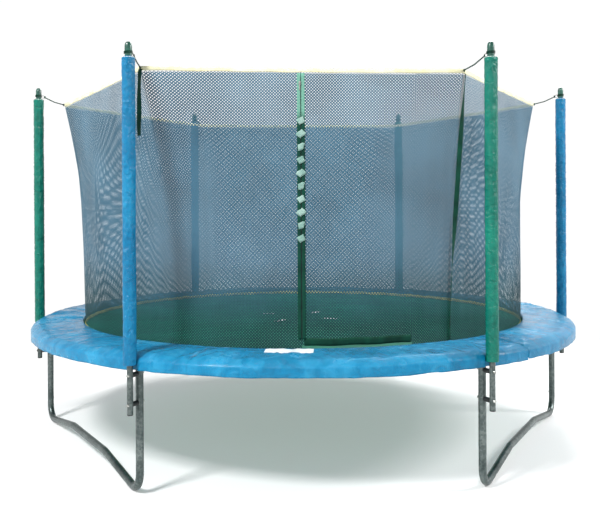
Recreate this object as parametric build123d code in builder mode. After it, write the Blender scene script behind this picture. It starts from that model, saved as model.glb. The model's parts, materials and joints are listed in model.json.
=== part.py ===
from build123d import *
from math import asin, cos, degrees, radians, sin, tan
import os

# Round garden trampoline, 3.66 m across, with a net enclosure on six padded poles.
# Millimetres. The origin is on the ground below the centre, +Z is up and the
# entrance is at -Y. Six pole places stand every 60 degrees, three legs serve two each.

# --- frame ring and legs -----------------------------------------------------------
ring_radius = 1809.0        # centre line of the ring tube
ring_height = 700.0         # centre line of the ring tube above the ground
frame_tube_d = 42.0
frame_tube_wall = 1.5
joint_clearance = 0.3       # radial play of each swaged end in its tube
rail_swage_length = 60.0
stub_drop = 140.0           # the welded leg stub reaches this far below the ring line
stub_weld_d = frame_tube_d + 1.0
stub_weld_height = 13.0
upright_top_gap = frame_tube_d / 2 + 13.0    # ring line down to the top of a leg upright
base_joint_height = 130.0   # where an upright stands on its leg base
base_swage_length = 80.0
swage_shoulder = 8.0
seat_gap = 0.5
base_middle_height = 85.0   # centre line of the raised middle of a leg base
base_slope = 7.7            # degrees of the runs that rise to the middle
base_corner_radius = 100.0
base_bend_radius = 160.0
leg_screw_d = 5.0
leg_screw_head_d = 2 * leg_screw_d
leg_screw_head = 3.0
leg_screw_length = 9.0
leg_screw_sink = 2.0        # the screw starts this far outside the tube
leg_screw_height = 25.0     # distance of a leg screw from the end of the upright

# --- enclosure poles ----------------------------------------------------------------
pole_d = 32.0
pole_wall = 1.2
pole_gap = 38.0             # free space between a pole and the ring tube
pole_radius = ring_radius + frame_tube_d / 2 + pole_gap + pole_d / 2
pole_swage_length = 80.0
bolt_d = 8.0
bolt_hole_d = bolt_d + 1.0
bolt_head_d = 2.25 * bolt_d
bolt_head_height = 4.5
bolt_heights = (ring_height - 210.0, ring_height - 58.0)
nut_d = bolt_d + 7.0
nut_height = 12.0
spacer_d = bolt_hole_d + 17.0
spacer_gap = 0.2
plug_length = 18.0
plug_rim = 5.0
foam_wall = 15.6
foam_clearance = 0.4
sleeve_wall = 2.7
sleeve_clearance = 0.3
sleeve_d = pole_d + 2 * (foam_clearance + foam_wall + sleeve_clearance + sleeve_wall)
sleeve_length = 1595.0
sleeve_bottom = ring_height - 3.0
sleeve_top = sleeve_bottom + sleeve_length
foam_inset = 6.0            # the foam stops this far inside both ends of its sleeve
cap_neck_d = pole_d + 4.6
cap_band_d = cap_neck_d + 2.4
cap_bottom = sleeve_top + seat_gap
cap_band_bottom = cap_bottom + 20.5
cap_band_top = cap_band_bottom + 17.0
cap_groove_top = cap_band_top + 5.0
cap_top = cap_groove_top + 32.0
cap_clearance = 0.3
pole_bottom = bolt_heights[0] - 49.0
pole_top = cap_groove_top + 3.0
pole_split = (pole_bottom + pole_top) / 2 + 0.5     # joint between the lower and the upper pole
eye_height = cap_bottom + 11.5
eye_wire_d = 3.6
eye_ring_r = 9.0
eye_reach = pole_d / 2 + 15.0       # from the pole's centre to the centre of the eye

# --- jumping mat and springs ----------------------------------------------------------
mat_gap = 219.0             # from the edge of the mat to the centre line of the ring
mat_radius = ring_radius - mat_gap
mat_thickness = 2.0
spring_count = 72
spring_d = 22.0
spring_wire_d = 3.2
spring_height = ring_height + 12.0      # centre line of a spring
mat_height = spring_height + 3.0        # underside of the mat
spring_inner_radius = mat_radius + 26.0
spring_outer_radius = ring_radius - frame_tube_d / 2 - 16.0
spring_cone = 8.0
hook_inner_radius = mat_radius + 8.0
hook_outer_radius = ring_radius - frame_tube_d / 2 + 11.0
hook_drop = 9.0
slot_d = spring_wire_d + 4.8
v_ring_wire = 4.0
v_ring_width = 40.0
v_ring_inner_radius = mat_radius - 15.0
v_ring_outer_radius = mat_radius + 19.0
v_ring_clearance = 0.4

# --- safety pad -------------------------------------------------------------------------
pad_inner_radius = mat_radius - 60.0
pad_outer_radius = pole_radius - 21.0
pad_inner_bottom = spring_height + spring_d / 2 + 6.0
pad_inner_top = pad_inner_bottom + 25.0
pad_ring_bottom = max(ring_height + frame_tube_d / 2 + 2.5, spring_height + spring_d / 2 + 0.5)
pad_ring_top = pad_ring_bottom + 19.5
pad_edge_top = pad_ring_top - 21.0
pad_edge_bottom = pad_edge_top - 16.0
skirt_bottom = pad_edge_bottom - 42.0
skirt_thickness = 3.0
pad_seam_turn = 10.0        # each seam lies this many degrees past a pole
notch_clearance = 2.0       # round each sleeve
tie_count = 24
tie_wire_d = 3.0
tie_gap = 0.6
tie_turn = 5.0              # first tie past a pole, in degrees
label_length = 255.0
label_width = 105.0
label_thickness = 0.6
label_lift = 0.4
label_angle = -94.2
label_radius = pad_inner_radius + 98.0

# --- net enclosure ----------------------------------------------------------------------
net_thickness = 1.5
net_bottom_radius = pad_inner_radius - 14.0
net_seam_gap = 3.0
tape_height = 22.0
tape_thickness = 3.0
hem_height = 22.0
hem_bottom = mat_height + mat_thickness + 3.0
net_bottom = hem_bottom + hem_height + seat_gap
net_top = sleeve_top - 59.0
door_left_x = -47.0         # the zipped edge
door_right_x = 556.0        # the sewn edge that the door turns on
door_bottom = net_bottom + 23.5
door_gap = 3.0
zip_tape_width = 17.0
zip_tape_thickness = 1.2
zip_tape_gap = 0.4
zip_tape_lift = 1.4         # the net leans this much across the width of a tape
zip_top = net_top - 23.0
zip_bottom = door_bottom + 34.0
slider_width = 10.0
slider_height = 22.0
slider_depth = 6.0
slider_pull = 30.0
slider_place = zip_top - 40.0
cord_d = 6.0
strap_width = 26.0
strap_thickness = 2.5
strap_gap = 4.0

# Pole places: name, angle in degrees, radius of the net's top corner beside that pole.
places = (
    ("right", 0.0, pole_radius - 202.0),
    ("rear_right", 60.0, pole_radius - 99.0),
    ("rear_left", 120.0, pole_radius - 179.0),
    ("left", 180.0, pole_radius - 187.0),
    ("front_left", 240.0, pole_radius - 100.0),
    ("front_right", 300.0, pole_radius - 209.0),
)
# The legs, each with the first of the two pole places that it carries.
legs = (("rear", 60.0), ("left", 180.0), ("right", 300.0))

tube_r = frame_tube_d / 2
tube_bore_r = tube_r - frame_tube_wall
swage_r = tube_bore_r - joint_clearance
swage_bore_r = swage_r - frame_tube_wall
pole_r = pole_d / 2
pole_bore_r = pole_r - pole_wall
pole_swage_r = pole_bore_r - joint_clearance
pole_swage_bore_r = pole_swage_r - pole_wall
upright_top = ring_height - upright_top_gap
place_step = 360.0 / len(places)
notch_r = sleeve_d / 2 + notch_clearance
spring_step = 360.0 / spring_count
pole_turns = [angle for name, angle, corner in places]
spring_turns = [spring_step * (step + 0.5) for step in range(spring_count)]
front_left_turn = places[4][1]
front_right_turn = places[5][1]

os.makedirs("parts", exist_ok=True)


def save(part, label):
    part.label = label
    export_step(part, f"parts/{label}.step")


def polar(radius, angle, height=0.0):
    return Vector(radius * cos(radians(angle)), radius * sin(radians(angle)), height)


def turned(part, angle):
    # The same piece at another place of the ring.
    return part.rotate(Axis.Z, angle)


def ring_of(part, angles):
    # One node of equal pieces that stand apart round the ring.
    return Compound([solid for angle in angles for solid in turned(part, angle).solids()])


def upright_plane(angle, radius=0.0, height=0.0):
    # Local x points away from the centre, local y points up.
    outward = polar(1.0, angle)
    return Plane(origin=polar(radius, angle, height), x_dir=outward, z_dir=outward.cross(Vector(0, 0, 1)))


def bolt_plane(angle, radius, height):
    # Local z points away from the centre, so a cylinder on it lies along a radius.
    return Plane(origin=polar(radius, angle, height), x_dir=(0, 0, 1), z_dir=polar(1.0, angle))


# --- frame ring: six curved rails with swaged ends, leg stubs and spring slots -----------
start = -place_step / 2
swage_turn = degrees(rail_swage_length / ring_radius)
shoulder_turn = degrees(swage_shoulder / ring_radius)
swage_plane = upright_plane(start + place_step - 2 * shoulder_turn)
stub_bottom = ring_height - stub_drop
screw_heights = (upright_top - leg_screw_height * 2, base_joint_height + leg_screw_height)
with BuildPart() as rail:
    with BuildSketch(upright_plane(start)):
        with Locations((ring_radius, ring_height)):
            Circle(tube_r)
    revolve(axis=Axis.Z, revolution_arc=place_step)
    with BuildSketch(Plane.XY.offset(stub_bottom)):
        with Locations((ring_radius, 0)):
            Circle(swage_r)
    extrude(amount=stub_drop)
    with BuildSketch(Plane.XY.offset(ring_height - tube_r - stub_weld_height + frame_tube_wall)):
        with Locations((ring_radius, 0)):
            Circle(stub_weld_d / 2)
    extrude(amount=stub_weld_height)
    with BuildSketch(upright_plane(start)):
        with Locations((ring_radius, ring_height)):
            Circle(tube_bore_r)
    revolve(axis=Axis.Z, revolution_arc=place_step - shoulder_turn, mode=Mode.SUBTRACT)
    with BuildSketch(swage_plane):
        with Locations((ring_radius, ring_height)):
            Circle(swage_r)
    revolve(axis=Axis.Z, revolution_arc=swage_turn + 2 * shoulder_turn)
    with BuildSketch(swage_plane):
        with Locations((ring_radius, ring_height)):
            Circle(swage_bore_r)
    revolve(axis=Axis.Z, revolution_arc=swage_turn + 2 * shoulder_turn, mode=Mode.SUBTRACT)
    with BuildSketch(Plane.XY.offset(stub_bottom)):
        with Locations((ring_radius, 0)):
            Circle(swage_bore_r)
    extrude(amount=stub_drop - tube_r, mode=Mode.SUBTRACT)
    slot_turns = [start + spring_step * (step + 0.5) for step in range(int(place_step / spring_step))]
    slot_radius = ring_radius - tube_r + slot_d / 2
    with Locations(*[bolt_plane(turn, slot_radius, spring_height) for turn in slot_turns]):
        Cylinder(slot_d / 2, slot_d * 1.5, mode=Mode.SUBTRACT)
    with Locations(bolt_plane(0, ring_radius, bolt_heights[1])):
        Cylinder(bolt_hole_d / 2, frame_tube_d, mode=Mode.SUBTRACT)
    with Locations(bolt_plane(0, ring_radius - tube_r, screw_heights[0])):
        Cylinder(leg_screw_d / 2, frame_tube_d / 2, mode=Mode.SUBTRACT)
for number, (name, angle, corner) in enumerate(places, start=1):
    save(turned(rail.part, angle), f"top_rail_{number}")

# --- leg uprights --------------------------------------------------------------------------
with BuildPart() as upright:
    with BuildSketch(Plane.XY.offset(base_joint_height + seat_gap)):
        with Locations((ring_radius, 0)):
            Circle(tube_r)
            Circle(tube_bore_r, mode=Mode.SUBTRACT)
    extrude(amount=upright_top - base_joint_height - seat_gap)
    with Locations(*[bolt_plane(0, ring_radius, height) for height in bolt_heights]):
        Cylinder(bolt_hole_d / 2, frame_tube_d + 2, mode=Mode.SUBTRACT)
    with Locations(*[bolt_plane(0, ring_radius - tube_r, height) for height in screw_heights]):
        Cylinder(leg_screw_d / 2, frame_tube_d / 2, mode=Mode.SUBTRACT)
for name, angle, corner in places:
    save(turned(upright.part, angle), f"leg_upright_{name}")

# --- leg bases: one bent tube for each pair of uprights, swaged at both ends ----------------
foot_a = polar(ring_radius, 0)
foot_b = polar(ring_radius, place_step)
along = (foot_b - foot_a).normalized()
span = (foot_b - foot_a).length
slope = radians(base_slope)
# Height of the corner point that lets the bend touch the ground with its underside.
corner_height = tube_r - base_corner_radius * ((1 + sin(slope)) / cos(slope) - 1)
run = (base_middle_height - corner_height) / tan(slope)
base_points = (
    (0, base_joint_height),
    (0, corner_height),
    (run, base_middle_height),
    (span - run, base_middle_height),
    (span, corner_height),
    (span, base_joint_height),
)
base_bends = (base_corner_radius, base_bend_radius, base_bend_radius, base_corner_radius)
base_end = Plane(origin=foot_a + Vector(0, 0, base_joint_height), z_dir=(0, 0, -1))
with BuildPart() as base:
    with BuildLine(Plane(origin=foot_a, x_dir=along, z_dir=along.cross(Vector(0, 0, 1)))) as route:
        FilletPolyline(*base_points, radius=base_bends)
    with BuildSketch(base_end):
        Circle(tube_r)
    sweep(path=route.line)
    with BuildSketch(base_end):
        Circle(tube_bore_r)
    sweep(path=route.line, mode=Mode.SUBTRACT)
    for foot in (foot_a, foot_b):
        with BuildSketch(Plane.XY.offset(base_joint_height - swage_shoulder)):
            with Locations((foot.X, foot.Y)):
                Circle(tube_r)
                Circle(swage_bore_r, mode=Mode.SUBTRACT)
        extrude(amount=swage_shoulder)
        with BuildSketch(Plane.XY.offset(base_joint_height - 1)):
            with Locations((foot.X, foot.Y)):
                Circle(swage_r)
                Circle(swage_bore_r, mode=Mode.SUBTRACT)
        extrude(amount=base_swage_length)
    with Locations(*[bolt_plane(turn, ring_radius - tube_r, screw_heights[1]) for turn in (0, place_step)]):
        Cylinder(leg_screw_d / 2, frame_tube_d / 2, mode=Mode.SUBTRACT)
for name, angle in legs:
    save(turned(base.part, angle), f"leg_base_{name}")

# --- leg screws: two for each upright, on the side that faces the middle -----------------------
with BuildPart() as screws:
    for height in screw_heights:
        with Locations(bolt_plane(0, ring_radius - tube_r + leg_screw_length / 2 - leg_screw_sink, height)):
            Cylinder(leg_screw_d / 2 - 0.1, leg_screw_length)
        with Locations(bolt_plane(0, ring_radius - tube_r - leg_screw_sink - 0.2, height)):
            Cylinder(leg_screw_head_d / 2, leg_screw_head)
save(ring_of(screws.part, pole_turns), "leg_screws")

# --- enclosure poles ------------------------------------------------------------------------------
with BuildPart() as pole_lower:
    with BuildSketch(Plane.XY.offset(pole_bottom)):
        with Locations((pole_radius, 0)):
            Circle(pole_r)
            Circle(pole_bore_r, mode=Mode.SUBTRACT)
    extrude(amount=pole_split - pole_bottom)
    with Locations(*[bolt_plane(0, pole_radius, height) for height in bolt_heights]):
        Cylinder(bolt_hole_d / 2, pole_d + 2, mode=Mode.SUBTRACT)
save(ring_of(pole_lower.part, pole_turns), "poles_lower")

pole_seat = pole_split + seat_gap
with BuildPart() as pole_upper:
    for low, high, outer_r, inner_r in (
        (pole_seat, pole_top, pole_r, pole_bore_r),
        (pole_seat, pole_seat + swage_shoulder, pole_r, pole_swage_bore_r),
        (pole_split - pole_swage_length, pole_seat + 1, pole_swage_r, pole_swage_bore_r),
    ):
        with BuildSketch(Plane.XY.offset(low)):
            with Locations((pole_radius, 0)):
                Circle(outer_r)
                Circle(inner_r, mode=Mode.SUBTRACT)
        extrude(amount=high - low)
    with Locations(bolt_plane(0, pole_radius - pole_r, eye_height)):
        Cylinder(eye_wire_d / 2 + cap_clearance, pole_r, mode=Mode.SUBTRACT)
save(ring_of(pole_upper.part, pole_turns), "poles_upper")

with BuildPart() as plug:
    with BuildSketch(Plane.XY.offset(pole_bottom - seat_gap - plug_rim)):
        with Locations((pole_radius, 0)):
            Circle(pole_r)
    extrude(amount=plug_rim)
    fillet(plug.edges().sort_by(Axis.Z)[0], plug_rim * 0.8)
    with BuildSketch(Plane.XY.offset(pole_bottom - seat_gap)):
        with Locations((pole_radius, 0)):
            Circle(pole_bore_r - joint_clearance)
    extrude(amount=plug_length)
save(ring_of(plug.part, pole_turns), "pole_end_plugs")

# --- pole bolts, spacers and cap nuts --------------------------------------------------------------
bolt_outer = pole_radius + pole_r
bolt_inner = ring_radius - tube_r
with BuildPart() as bolts:
    for height in bolt_heights:
        with Locations(bolt_plane(0, (bolt_outer + bolt_inner - nut_height) / 2 + 1, height)):
            Cylinder(bolt_d / 2, bolt_outer - bolt_inner + nut_height)
        with BuildSketch(bolt_plane(0, bolt_outer + spacer_gap, height)):
            Circle(bolt_head_d / 2)
        extrude(amount=bolt_head_height, taper=25)
save(ring_of(bolts.part, pole_turns), "pole_bolts")

with BuildPart() as nuts:
    for height in bolt_heights:
        with BuildSketch(bolt_plane(0, bolt_inner - spacer_gap - nut_height, height)):
            RegularPolygon(nut_d / 2, 6)
            Circle(bolt_d / 2 + 0.1, mode=Mode.SUBTRACT)
        extrude(amount=nut_height)
save(ring_of(nuts.part, pole_turns), "pole_nuts")

with BuildPart() as spacers:
    with Locations(*[bolt_plane(0, (ring_radius + pole_radius) / 2, height) for height in bolt_heights]):
        Cylinder(spacer_d / 2, pole_radius - ring_radius)
        Cylinder(bolt_hole_d / 2, pole_radius - ring_radius, mode=Mode.SUBTRACT)
    with BuildSketch(Plane.XY.offset(bolt_heights[0] - spacer_d)):
        with Locations((ring_radius, 0)):
            Circle(tube_r + spacer_gap)
        with Locations((pole_radius, 0)):
            Circle(pole_r + spacer_gap)
    extrude(amount=bolt_heights[1] - bolt_heights[0] + 2 * spacer_d, mode=Mode.SUBTRACT)
save(ring_of(spacers.part, pole_turns), "pole_spacers")

# --- pole foam, sleeves and caps ---------------------------------------------------------------------
foam_inner_r = pole_r + foam_clearance
with BuildPart() as foam:
    with BuildSketch(Plane.XY.offset(sleeve_bottom + foam_inset)):
        with Locations((pole_radius, 0)):
            Circle(foam_inner_r + foam_wall)
            Circle(foam_inner_r, mode=Mode.SUBTRACT)
    extrude(amount=sleeve_top - sleeve_bottom - 2 * foam_inset)
save(ring_of(foam.part, pole_turns), "pole_foam")

with BuildPart() as sleeve:
    with BuildSketch(Plane.XY.offset(sleeve_bottom)):
        with Locations((pole_radius, 0)):
            Circle(sleeve_d / 2)
            Circle(sleeve_d / 2 - sleeve_wall, mode=Mode.SUBTRACT)
    extrude(amount=sleeve_top - sleeve_bottom)
for name, angle, corner in places:
    save(turned(sleeve.part, angle), f"pole_sleeve_{name}")

with BuildPart() as cap:
    with BuildSketch(upright_plane(0, pole_radius)):
        with BuildLine():
            Polyline(
                (0, cap_top),
                (0, cap_bottom),
                (cap_neck_d / 2, cap_bottom),
                (cap_neck_d / 2, cap_band_bottom),
                (cap_band_d / 2, cap_band_bottom),
                (cap_band_d / 2, cap_band_top),
                (cap_neck_d / 2, cap_band_top),
                (cap_neck_d / 2, cap_groove_top),
                (cap_band_d / 2, cap_groove_top),
            )
            Spline((cap_band_d / 2, cap_groove_top), (0, cap_top), tangents=((0, 1), (-1, 0)))
        make_face()
    revolve(axis=Axis((pole_radius, 0, 0), (0, 0, 1)))
    with BuildSketch(Plane.XY.offset(cap_bottom)):
        with Locations((pole_radius, 0)):
            Circle(pole_r + cap_clearance)
    extrude(amount=pole_top - cap_bottom + seat_gap, mode=Mode.SUBTRACT)
    with Locations(bolt_plane(0, pole_radius - pole_r, eye_height)):
        Cylinder(eye_wire_d / 2 + cap_clearance, pole_r, mode=Mode.SUBTRACT)
save(ring_of(cap.part, pole_turns), "pole_caps")

eye_shank = eye_reach - eye_ring_r - pole_bore_r + 6
with BuildPart() as eye:
    with BuildSketch(upright_plane(0, pole_radius, eye_height)):
        with Locations((-eye_reach, 0)):
            Circle(eye_ring_r + eye_wire_d / 2)
            Circle(eye_ring_r - eye_wire_d / 2, mode=Mode.SUBTRACT)
    extrude(amount=eye_wire_d / 2, both=True)
    with Locations(bolt_plane(0, pole_radius - eye_reach + eye_ring_r + eye_shank / 2, eye_height)):
        Cylinder(eye_wire_d / 2, eye_shank)
save(ring_of(eye.part, pole_turns), "net_eye_bolts")

# --- jumping mat, V-rings and springs --------------------------------------------------------------------
with BuildPart() as mat:
    with BuildSketch(Plane.XY.offset(mat_height)):
        Circle(mat_radius)
    extrude(amount=mat_thickness)
save(mat.part, "jumping_mat")

v_ring_bottom = spring_height - spring_wire_d / 2 - v_ring_clearance - v_ring_wire
with BuildPart() as v_ring:
    with BuildSketch(Plane.XY.offset(v_ring_bottom)):
        with BuildLine():
            Polyline(
                (v_ring_inner_radius, -v_ring_width / 2),
                (v_ring_inner_radius, v_ring_width / 2),
                (v_ring_outer_radius, v_ring_wire),
                (v_ring_outer_radius, -v_ring_wire),
                close=True,
            )
        make_face()
        offset(amount=-v_ring_wire, mode=Mode.SUBTRACT)
    extrude(amount=v_ring_wire)
save(ring_of(v_ring.part, spring_turns), "v_rings")

wire_r = spring_wire_d / 2
with BuildPart() as spring:
    with BuildSketch(upright_plane(0)):
        with BuildLine():
            Polyline(
                (hook_inner_radius, spring_height),
                (hook_inner_radius, spring_height + wire_r),
                (spring_inner_radius, spring_height + wire_r),
                (spring_inner_radius + spring_cone, spring_height + spring_d / 2),
                (spring_outer_radius - spring_cone, spring_height + spring_d / 2),
                (spring_outer_radius, spring_height + wire_r),
                (hook_outer_radius, spring_height + wire_r),
                (hook_outer_radius, spring_height),
                close=True,
            )
        make_face()
    revolve(axis=Axis((0, 0, spring_height), (1, 0, 0)))
    with BuildSketch(Plane.XY.offset(spring_height - hook_drop)):
        with Locations((hook_inner_radius + wire_r, 0), (hook_outer_radius - wire_r, 0)):
            Circle(wire_r * 0.8)
    extrude(amount=hook_drop)
save(ring_of(spring.part, spring_turns), "springs")

# --- safety pad: six sewn sections with a skirt, notched round the pole sleeves ---
with BuildPart() as pad:
    with BuildSketch(upright_plane(pad_seam_turn - place_step)):
        with BuildLine():
            Polyline(
                (pad_inner_radius, pad_inner_bottom),
                (pad_inner_radius, pad_inner_top),
                (ring_radius, pad_ring_top),
                (pad_outer_radius, pad_edge_top),
                (pad_outer_radius, skirt_bottom),
                (pad_outer_radius - skirt_thickness, skirt_bottom),
                (pad_outer_radius - skirt_thickness, pad_edge_bottom),
                (ring_radius + tube_r / 3, pad_ring_bottom),
                close=True,
            )
        make_face()
    revolve(axis=Axis.Z, revolution_arc=place_step)
    with BuildSketch(Plane.XY.offset(skirt_bottom)):
        with Locations((pole_radius, 0)):
            Circle(notch_r)
    extrude(amount=pad_inner_top - skirt_bottom, mode=Mode.SUBTRACT)
    with BuildSketch(Plane.XY.offset(skirt_bottom)):
        with Locations((pole_radius, 0)):
            Circle(notch_r + skirt_thickness)
            Circle(notch_r, mode=Mode.SUBTRACT)
        Circle(pad_outer_radius, mode=Mode.INTERSECT)
    extrude(amount=pad_edge_bottom - skirt_bottom + skirt_thickness)
for number, (name, angle, corner) in enumerate(places, start=1):
    save(turned(pad.part, angle), f"safety_pad_{number}")

tie_r = tube_r + tie_gap
with BuildPart() as tie:
    with BuildSketch(upright_plane(tie_turn)):
        with Locations((ring_radius, ring_height)):
            Circle(tie_r + tie_wire_d / 2)
            Circle(tie_r, mode=Mode.SUBTRACT)
    extrude(amount=tie_wire_d / 2, both=True)
save(ring_of(tie.part, [step * 360.0 / tie_count for step in range(tie_count)]), "pad_ties")

pad_slope = (pad_inner_top - pad_ring_top) / (ring_radius - pad_inner_radius)
label_height = pad_inner_top - pad_slope * (label_radius - pad_inner_radius)
label_out = polar(1.0, label_angle) - Vector(0, 0, pad_slope)
label_side = Vector(0, 0, 1).cross(polar(1.0, label_angle))
label_up = label_out.cross(label_side)
label_base = polar(label_radius, label_angle, label_height) + label_up.normalized() * label_lift
with BuildPart() as label:
    with BuildSketch(Plane(origin=label_base, x_dir=label_side, z_dir=label_up)):
        RectangleRounded(label_length, label_width, 4.0)
    extrude(amount=label_thickness)
save(label.part, "label_patch")

# --- net enclosure ----------------------------------------------------------------------------------------
corners = {name: polar(corner, angle) for name, angle, corner in places}
chord = corners["front_right"] - corners["front_left"]


def front_point(x):
    # The point of the front top edge at this x.
    return corners["front_left"] + chord * ((x - corners["front_left"].X) / chord.X)


def net_panel(top_a, top_b, turn_a, turn_b, low, high):
    # A thin wall between a straight top edge and an arc of the bottom circle, a seam gap short each side.
    side = (top_b - top_a).normalized()
    normal = side.cross(Vector(0, 0, 1)) * (net_thickness / 2)
    a = top_a + side * net_seam_gap
    b = top_b - side * net_seam_gap
    gap = degrees(net_seam_gap / net_bottom_radius)
    inner = net_bottom_radius - net_thickness / 2
    outer = net_bottom_radius + net_thickness / 2
    first = turn_a + gap
    last = turn_b - gap
    middle = (first + last) / 2
    with BuildPart() as panel:
        with BuildSketch(Plane.XY.offset(low)):
            with BuildLine():
                ThreePointArc(polar(outer, first), polar(outer, middle), polar(outer, last))
                Line(polar(outer, last), polar(inner, last))
                ThreePointArc(polar(inner, last), polar(inner, middle), polar(inner, first))
                Line(polar(inner, first), polar(outer, first))
            make_face()
        with BuildSketch(Plane.XY.offset(high)):
            with BuildLine():
                Polyline(a + normal, b + normal, b - normal, a - normal, close=True)
            make_face()
        loft(ruled=True)
    return panel.part


def turn_at(x):
    # The angle on the bottom circle, at the front, of this x.
    return 270.0 + degrees(asin(x / net_bottom_radius))


for index in (0, 1, 2, 3, 5):
    name, angle, corner = places[index]
    other = places[(index + 1) % len(places)][0]
    panel = net_panel(corners[name], corners[other], angle, angle + place_step, net_bottom, net_top)
    save(panel, f"net_panel_{index + 1}")

zip_edge = front_point(door_left_x)
hinge_edge = front_point(door_right_x)
front_left = net_panel(corners["front_left"], zip_edge, front_left_turn, turn_at(door_left_x),
                       net_bottom, net_top)
save(front_left, "net_front_left")
front_right = net_panel(hinge_edge, corners["front_right"], turn_at(door_right_x), front_right_turn,
                        net_bottom, net_top)
save(front_right, "net_front_right")
door = net_panel(zip_edge, hinge_edge, turn_at(door_left_x), turn_at(door_right_x),
                 door_bottom, net_top - door_gap)
save(door, "net_door")

tape_half = tape_thickness / 2 / cos(radians(place_step / 2))
with BuildPart() as top_tape:
    with BuildSketch(Plane.XY.offset(net_top + seat_gap)):
        outside = [polar(corner + tape_half, angle) for name, angle, corner in places]
        inside = [polar(corner - tape_half, angle) for name, angle, corner in places]
        Polygon(*[(point.X, point.Y) for point in outside], align=None)
        Polygon(*[(point.X, point.Y) for point in inside], align=None, mode=Mode.SUBTRACT)
    extrude(amount=tape_height)
save(top_tape.part, "net_top_tape")

with BuildPart() as hem:
    with BuildSketch(Plane.XY.offset(hem_bottom)):
        Circle(net_bottom_radius + tape_thickness / 2)
        Circle(net_bottom_radius - tape_thickness / 2, mode=Mode.SUBTRACT)
    extrude(amount=hem_height)
save(hem.part, "net_bottom_hem")

# Zip: a tape on the fixed net and a tape on the door, and the slider that stays on the fixed side.
zip_bottom_point = polar(net_bottom_radius, turn_at(door_left_x), net_bottom)
zip_top_point = zip_edge + Vector(0, 0, net_top)
zip_line = (zip_top_point - zip_bottom_point).normalized()


def zip_point(height):
    return zip_bottom_point + zip_line * ((height - net_bottom) / zip_line.Z)


for label_name, side_sign in (("zip_tape_fixed", -1), ("zip_tape_door", 1)):
    middle = (zip_point(zip_top) + zip_point(zip_bottom)) * 0.5
    away = zip_tape_width / 2 + net_seam_gap
    origin = middle + Vector(side_sign * away, 0, 0)
    lift = net_thickness / 2 + zip_tape_gap + zip_tape_thickness / 2 + zip_tape_lift
    front = Vector(0, -1, 0)
    across = Vector(1, 0, 0)
    plane = Plane(origin=origin + front * lift, x_dir=across, z_dir=across.cross(zip_line))
    with BuildPart() as tape:
        with Locations(plane):
            Box(zip_tape_width, (zip_top - zip_bottom) / zip_line.Z, zip_tape_thickness)
    save(tape.part, label_name)

slider_lift = net_thickness / 2 + 2 * zip_tape_gap + zip_tape_thickness + zip_tape_lift
slider_lift += slider_depth / 2 + spacer_gap
slider_middle = zip_point(slider_place) + Vector(-net_seam_gap - slider_width / 2, -slider_lift, 0)
with BuildPart() as slider:
    with Locations(Plane(origin=slider_middle, x_dir=(1, 0, 0), z_dir=Vector(1, 0, 0).cross(zip_line))):
        Box(slider_width, slider_height, slider_depth)
        fillet(slider.edges().filter_by(Axis.Z, reverse=True).group_by(SortBy.LENGTH)[0], 1.2)
        with Locations((0, -slider_height / 2 - slider_pull / 2 + 4, slider_depth / 4)):
            Box(slider_width * 0.6, slider_pull, slider_depth / 3)
save(slider.part, "zip_slider")
print("zip direction", tuple(round(value, 5) for value in zip_line))
hinge_low = polar(net_bottom_radius, turn_at(door_right_x), net_bottom)
hinge_line = (hinge_edge + Vector(0, 0, net_top) - hinge_low).normalized()
print("hinge point", tuple(round(v / 1000, 5) for v in hinge_low))
print("hinge axis", tuple(round(v, 5) for v in hinge_line))

# Corner cords from the eye bolts to the corners of the top tape.
cords = []
for name, angle, corner in places:
    eye_inner = polar(pole_radius - eye_reach - eye_ring_r - cord_d / 2 - 2, angle, eye_height - 2)
    way = polar(corner + cord_d / 2 + tape_thickness, angle, net_top + tape_height / 2) - eye_inner
    with BuildPart() as cord:
        with BuildSketch(Plane(origin=eye_inner, z_dir=way)):
            Circle(cord_d / 2)
        extrude(amount=way.length)
    cords.append(cord.part.solid())
save(Compound(cords), "corner_cords")

# The sewn strap down the front right corner of the net.
strap_foot = hem_bottom + hem_height + 1
strap_low = polar(net_bottom_radius + strap_gap + strap_thickness, front_right_turn, strap_foot)
strap_high = corners["front_right"] + polar(strap_gap + strap_thickness, front_right_turn, net_top - 1)
strap_way = (strap_high - strap_low).normalized()
strap_side = Vector(0, 0, 1).cross(polar(1.0, front_right_turn))
with BuildPart() as corner_strap:
    strap_middle = (strap_low + strap_high) * 0.5
    with Locations(Plane(origin=strap_middle, x_dir=strap_side, z_dir=strap_side.cross(strap_way))):
        Box(strap_width, (strap_high - strap_low).length, strap_thickness)
save(corner_strap.part, "corner_strap")

# The loose strap that hangs from the front left corner of the top tape.
strap_points = (
    (1.0, 0.0),
    (9.0, -16.0),
    (10.0, -60.0),
    (15.0, -130.0),
    (12.0, -220.0),
    (17.0, -300.0),
    (15.0, -352.0),
)
strap_radii = []
for before, here, after in zip(strap_points, strap_points[1:], strap_points[2:]):
    run_a = Vector(*here) - Vector(*before)
    run_b = Vector(*after) - Vector(*here)
    bend = radians(run_a.get_angle(run_b))
    strap_radii.append(0.45 * min(run_a.length, run_b.length) / tan(bend / 2))
print("hanging strap bend radii", [round(radius) for radius in strap_radii])
strap_top = polar(places[4][2] + tape_thickness, front_left_turn, net_top + 6)
hang_out = polar(1.0, front_left_turn)
hang_plane = Plane(origin=strap_top, x_dir=hang_out, z_dir=hang_out.cross(Vector(0, 0, 1)))
with BuildPart() as hanging_strap:
    with BuildLine(hang_plane) as hang_route:
        FilletPolyline(*strap_points, radius=strap_radii)
    start_way = hang_route.line @ 0
    with BuildSketch(Plane(origin=start_way, x_dir=hang_plane.z_dir, z_dir=hang_route.line % 0)):
        Rectangle(strap_width, strap_thickness)
    sweep(path=hang_route.line)
hang_length = sum(edge.length for edge in hang_route.edges())
print("hanging strap length", round(hang_length, 1))
save(hanging_strap.part, "hanging_strap")
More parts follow.
